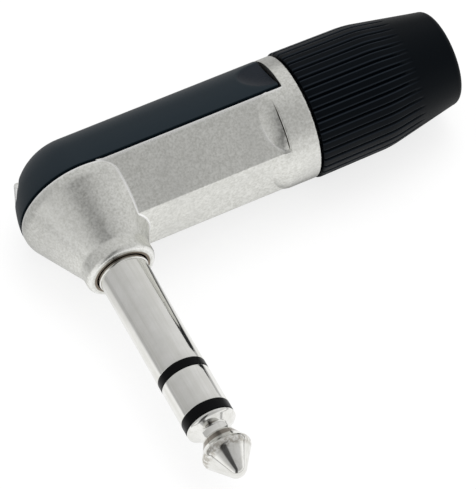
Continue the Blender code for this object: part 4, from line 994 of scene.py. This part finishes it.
# %% [markdown]
# ## Solids that stay
# The contact carrier, the two solder lugs, the earthing clamp and the chuck have the right shape
# already, so they keep their meshes and only get better finishes.

# %% Finishes for the inner solids
for node, material in (("contact_carrier", ring_black), ("ring_lug", tinned), ("tip_lug", tinned),
                       ("earth_clamp", tinned), ("chuck", chuck_grey)):
    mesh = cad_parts[node].data
    mesh.materials.clear()
    mesh.materials.append(material)
    print(node, "is now", material.name)

# %% [markdown]
# ## Table
# The photograph has a white ground, and polished metal mostly shows what is round it. So the
# table glows for the camera, which makes it white, and near the plug it glows for reflections
# too, except close under the barrel, where a real table lies in shadow. For everything else it
# is an ordinary pale table, which keeps the plug's shadow.

# %% Table
floor_mesh = bpy.data.meshes.new("table")
floor_mesh.from_pydata([(-3, -3, 0), (3, -3, 0), (3, 3, 0), (-3, 3, 0)], [], [(0, 1, 2, 3)])
table = bpy.data.objects.new("table", floor_mesh)
table.location.z = cad_box[0].z - 0.00002
bpy.context.scene.collection.objects.link(table)
table_paint = bpy.data.materials.new("table_white")
table_paint.use_nodes = True
tree = table_paint.node_tree
shader = tree.nodes["Principled BSDF"]
shader.inputs["Base Color"].default_value = (0.28, 0.28, 0.28, 1.0)
shader.inputs["Roughness"].default_value = 0.9
shader.inputs["Specular IOR Level"].default_value = 0.0
shader.inputs["Emission Color"].default_value = (1.0, 1.0, 1.0, 1.0)


def rays(tree):
    """Sockets that are 1 for the camera's own rays, and for rays mirrored or bent by a piece."""
    path = add(tree, "ShaderNodeLightPath").outputs
    return path["Is Camera Ray"], sums(tree, "MAXIMUM", path["Is Glossy Ray"],
                                       path["Is Transmission Ray"])


seen, mirrored = rays(tree)
spot = add(tree, "ShaderNodeNewGeometry").outputs["Position"]
away = vector_sums(tree, "MULTIPLY_ADD", spot, (0.6, 1.0, 0.0), (0.012, 0.055, 0.0))
near = spread(tree, vector_sums(tree, "LENGTH", away), 0.0605, 0.0805, 0.74, 0.20)
under = vector_sums(tree, "ABSOLUTE", vector_sums(tree, "ADD", spot, (-0.004, -0.0176, 0.0)))
under_x, under_y, _ = parts_of(tree, under)
shaded = sums(tree, "MULTIPLY", spread(tree, under_x, 0.024, 0.030, 1.0, 0.0),
              spread(tree, under_y, 0.006, 0.0095, 1.0, 0.0))
near = sums(tree, "MULTIPLY", near, spread(tree, shaded, 0.0, 1.0, 1.0, 0.12))
glow = sums(tree, "MULTIPLY_ADD", seen, 0.75, sums(tree, "MULTIPLY", mirrored, near))
tree.links.new(glow, shader.inputs["Emission Strength"])
floor_mesh.materials.append(table_paint)
print("table at, mm:", round(table.location.z / MM, 3))

# %% [markdown]
# ## Sky and lamp
# The room is a sky whose brightness depends on the direction. It is a little brighter behind the
# plug and to its right, with a pale wall low in front, another at the left, and a dark skirting
# low down and far behind. Where the camera stands there is a round dark shade on a dark stand,
# which is darkest near the floor. All of them lie in the room, so they stay where they are when
# the plug is looked at from elsewhere. Only mirrored rays see this room: other rays get one even
# level, so that the light on the plug is plain. One soft lamp overhead gives the shadow.

# %% Sky and lamp
sky = bpy.data.worlds.new("soft_room")
bpy.context.scene.world = sky
sky.use_nodes = True
tree = sky.node_tree
way = add(tree, "ShaderNodeTexCoord").outputs["Generated"]
way_x, way_y, way_z = parts_of(tree, way)
level = sums(tree, "ADD", vector_sums(tree, "DOT_PRODUCT", way, (0.135, 0.135, -0.03)), 0.624)
front = spread(tree, way_y, 0.05, -0.35, 0.0, 0.42)
level = sums(tree, "MULTIPLY_ADD", front, spread(tree, way_z, 0.14, 0.36, 1.0, 0.0), level)
left = spread(tree, way_x, -0.35, -0.75, 0.0, 0.26)
level = sums(tree, "MULTIPLY_ADD", left, spread(tree, way_y, 0.10, -0.15, 0.0, 1.0), level)
far = vector_sums(tree, "DOT_PRODUCT", way, (0.35, 0.94, 0.0))
far = spread(tree, far, 0.80, 0.92, 0.0, 0.50)
level = sums(tree, "MULTIPLY_ADD", far, spread(tree, way_z, 0.36, 0.16, 0.0, -1.0), level)
toward = vector_sums(tree, "DOT_PRODUCT", way, tuple(back))
level = sums(tree, "MULTIPLY", level, spread(tree, toward, 0.965, 0.993, 1.0, 0.38))
height = vector_sums(tree, "DOT_PRODUCT", way, tuple(upright))
stand = sums(tree, "MAXIMUM", spread(tree, height, 0.42, 0.54, 0.46, 0.0),
             spread(tree, height, -0.02, -0.12, 0.0, 0.85))
across = vector_sums(tree, "DOT_PRODUCT", way, tuple(side))
stand = sums(tree, "MULTIPLY", stand, inside_band(tree, across, 0.145, 0.16, 0.24))
stand = sums(tree, "MULTIPLY", stand, spread(tree, toward, 0.2, 0.4, 0.0, 1.0))
level = sums(tree, "MULTIPLY", level, sums(tree, "SUBTRACT", 1.0, stand))
seen, mirrored = rays(tree)
plain = sums(tree, "MULTIPLY_ADD", seen, 0.12, 0.88)
strength = add(tree, "ShaderNodeMix", {0: mirrored, 2: plain, 3: level}, data_type="FLOAT")
ground = tree.nodes["Background"]
ground.inputs["Color"].default_value = (1.0, 1.0, 1.0, 1.0)
tree.links.new(strength.outputs[0], ground.inputs["Strength"])


def lamp(name, place, size, power):
    """A square soft lamp at a place in metres, turned to face the plug, unseen in reflections."""
    data = bpy.data.lights.new(name, "AREA")
    data.shape = "SQUARE"
    data.size = size
    data.energy = power
    made = bpy.data.objects.new(name, data)
    made.location = place
    ray = Vector((0, 0, 8 * MM)) - Vector(place)
    made.rotation_euler = ray.to_track_quat("-Z", "Y").to_euler()
    made.visible_glossy = False
    bpy.context.scene.collection.objects.link(made)
    return made


over_lamp = lamp("over_lamp", (0.15, 0.20, 0.70), 0.5, 1.6)
print("sky:", len(tree.nodes), "nodes, lamp of", over_lamp.data.size, "m")

# %% [markdown]
# ## Sizes and the end
# Last, the size of the solids' box is printed.

# %% Sizes and the end
print("CAD box, mm:", [[round(v / MM, 3) for v in corner] for corner in cad_box])
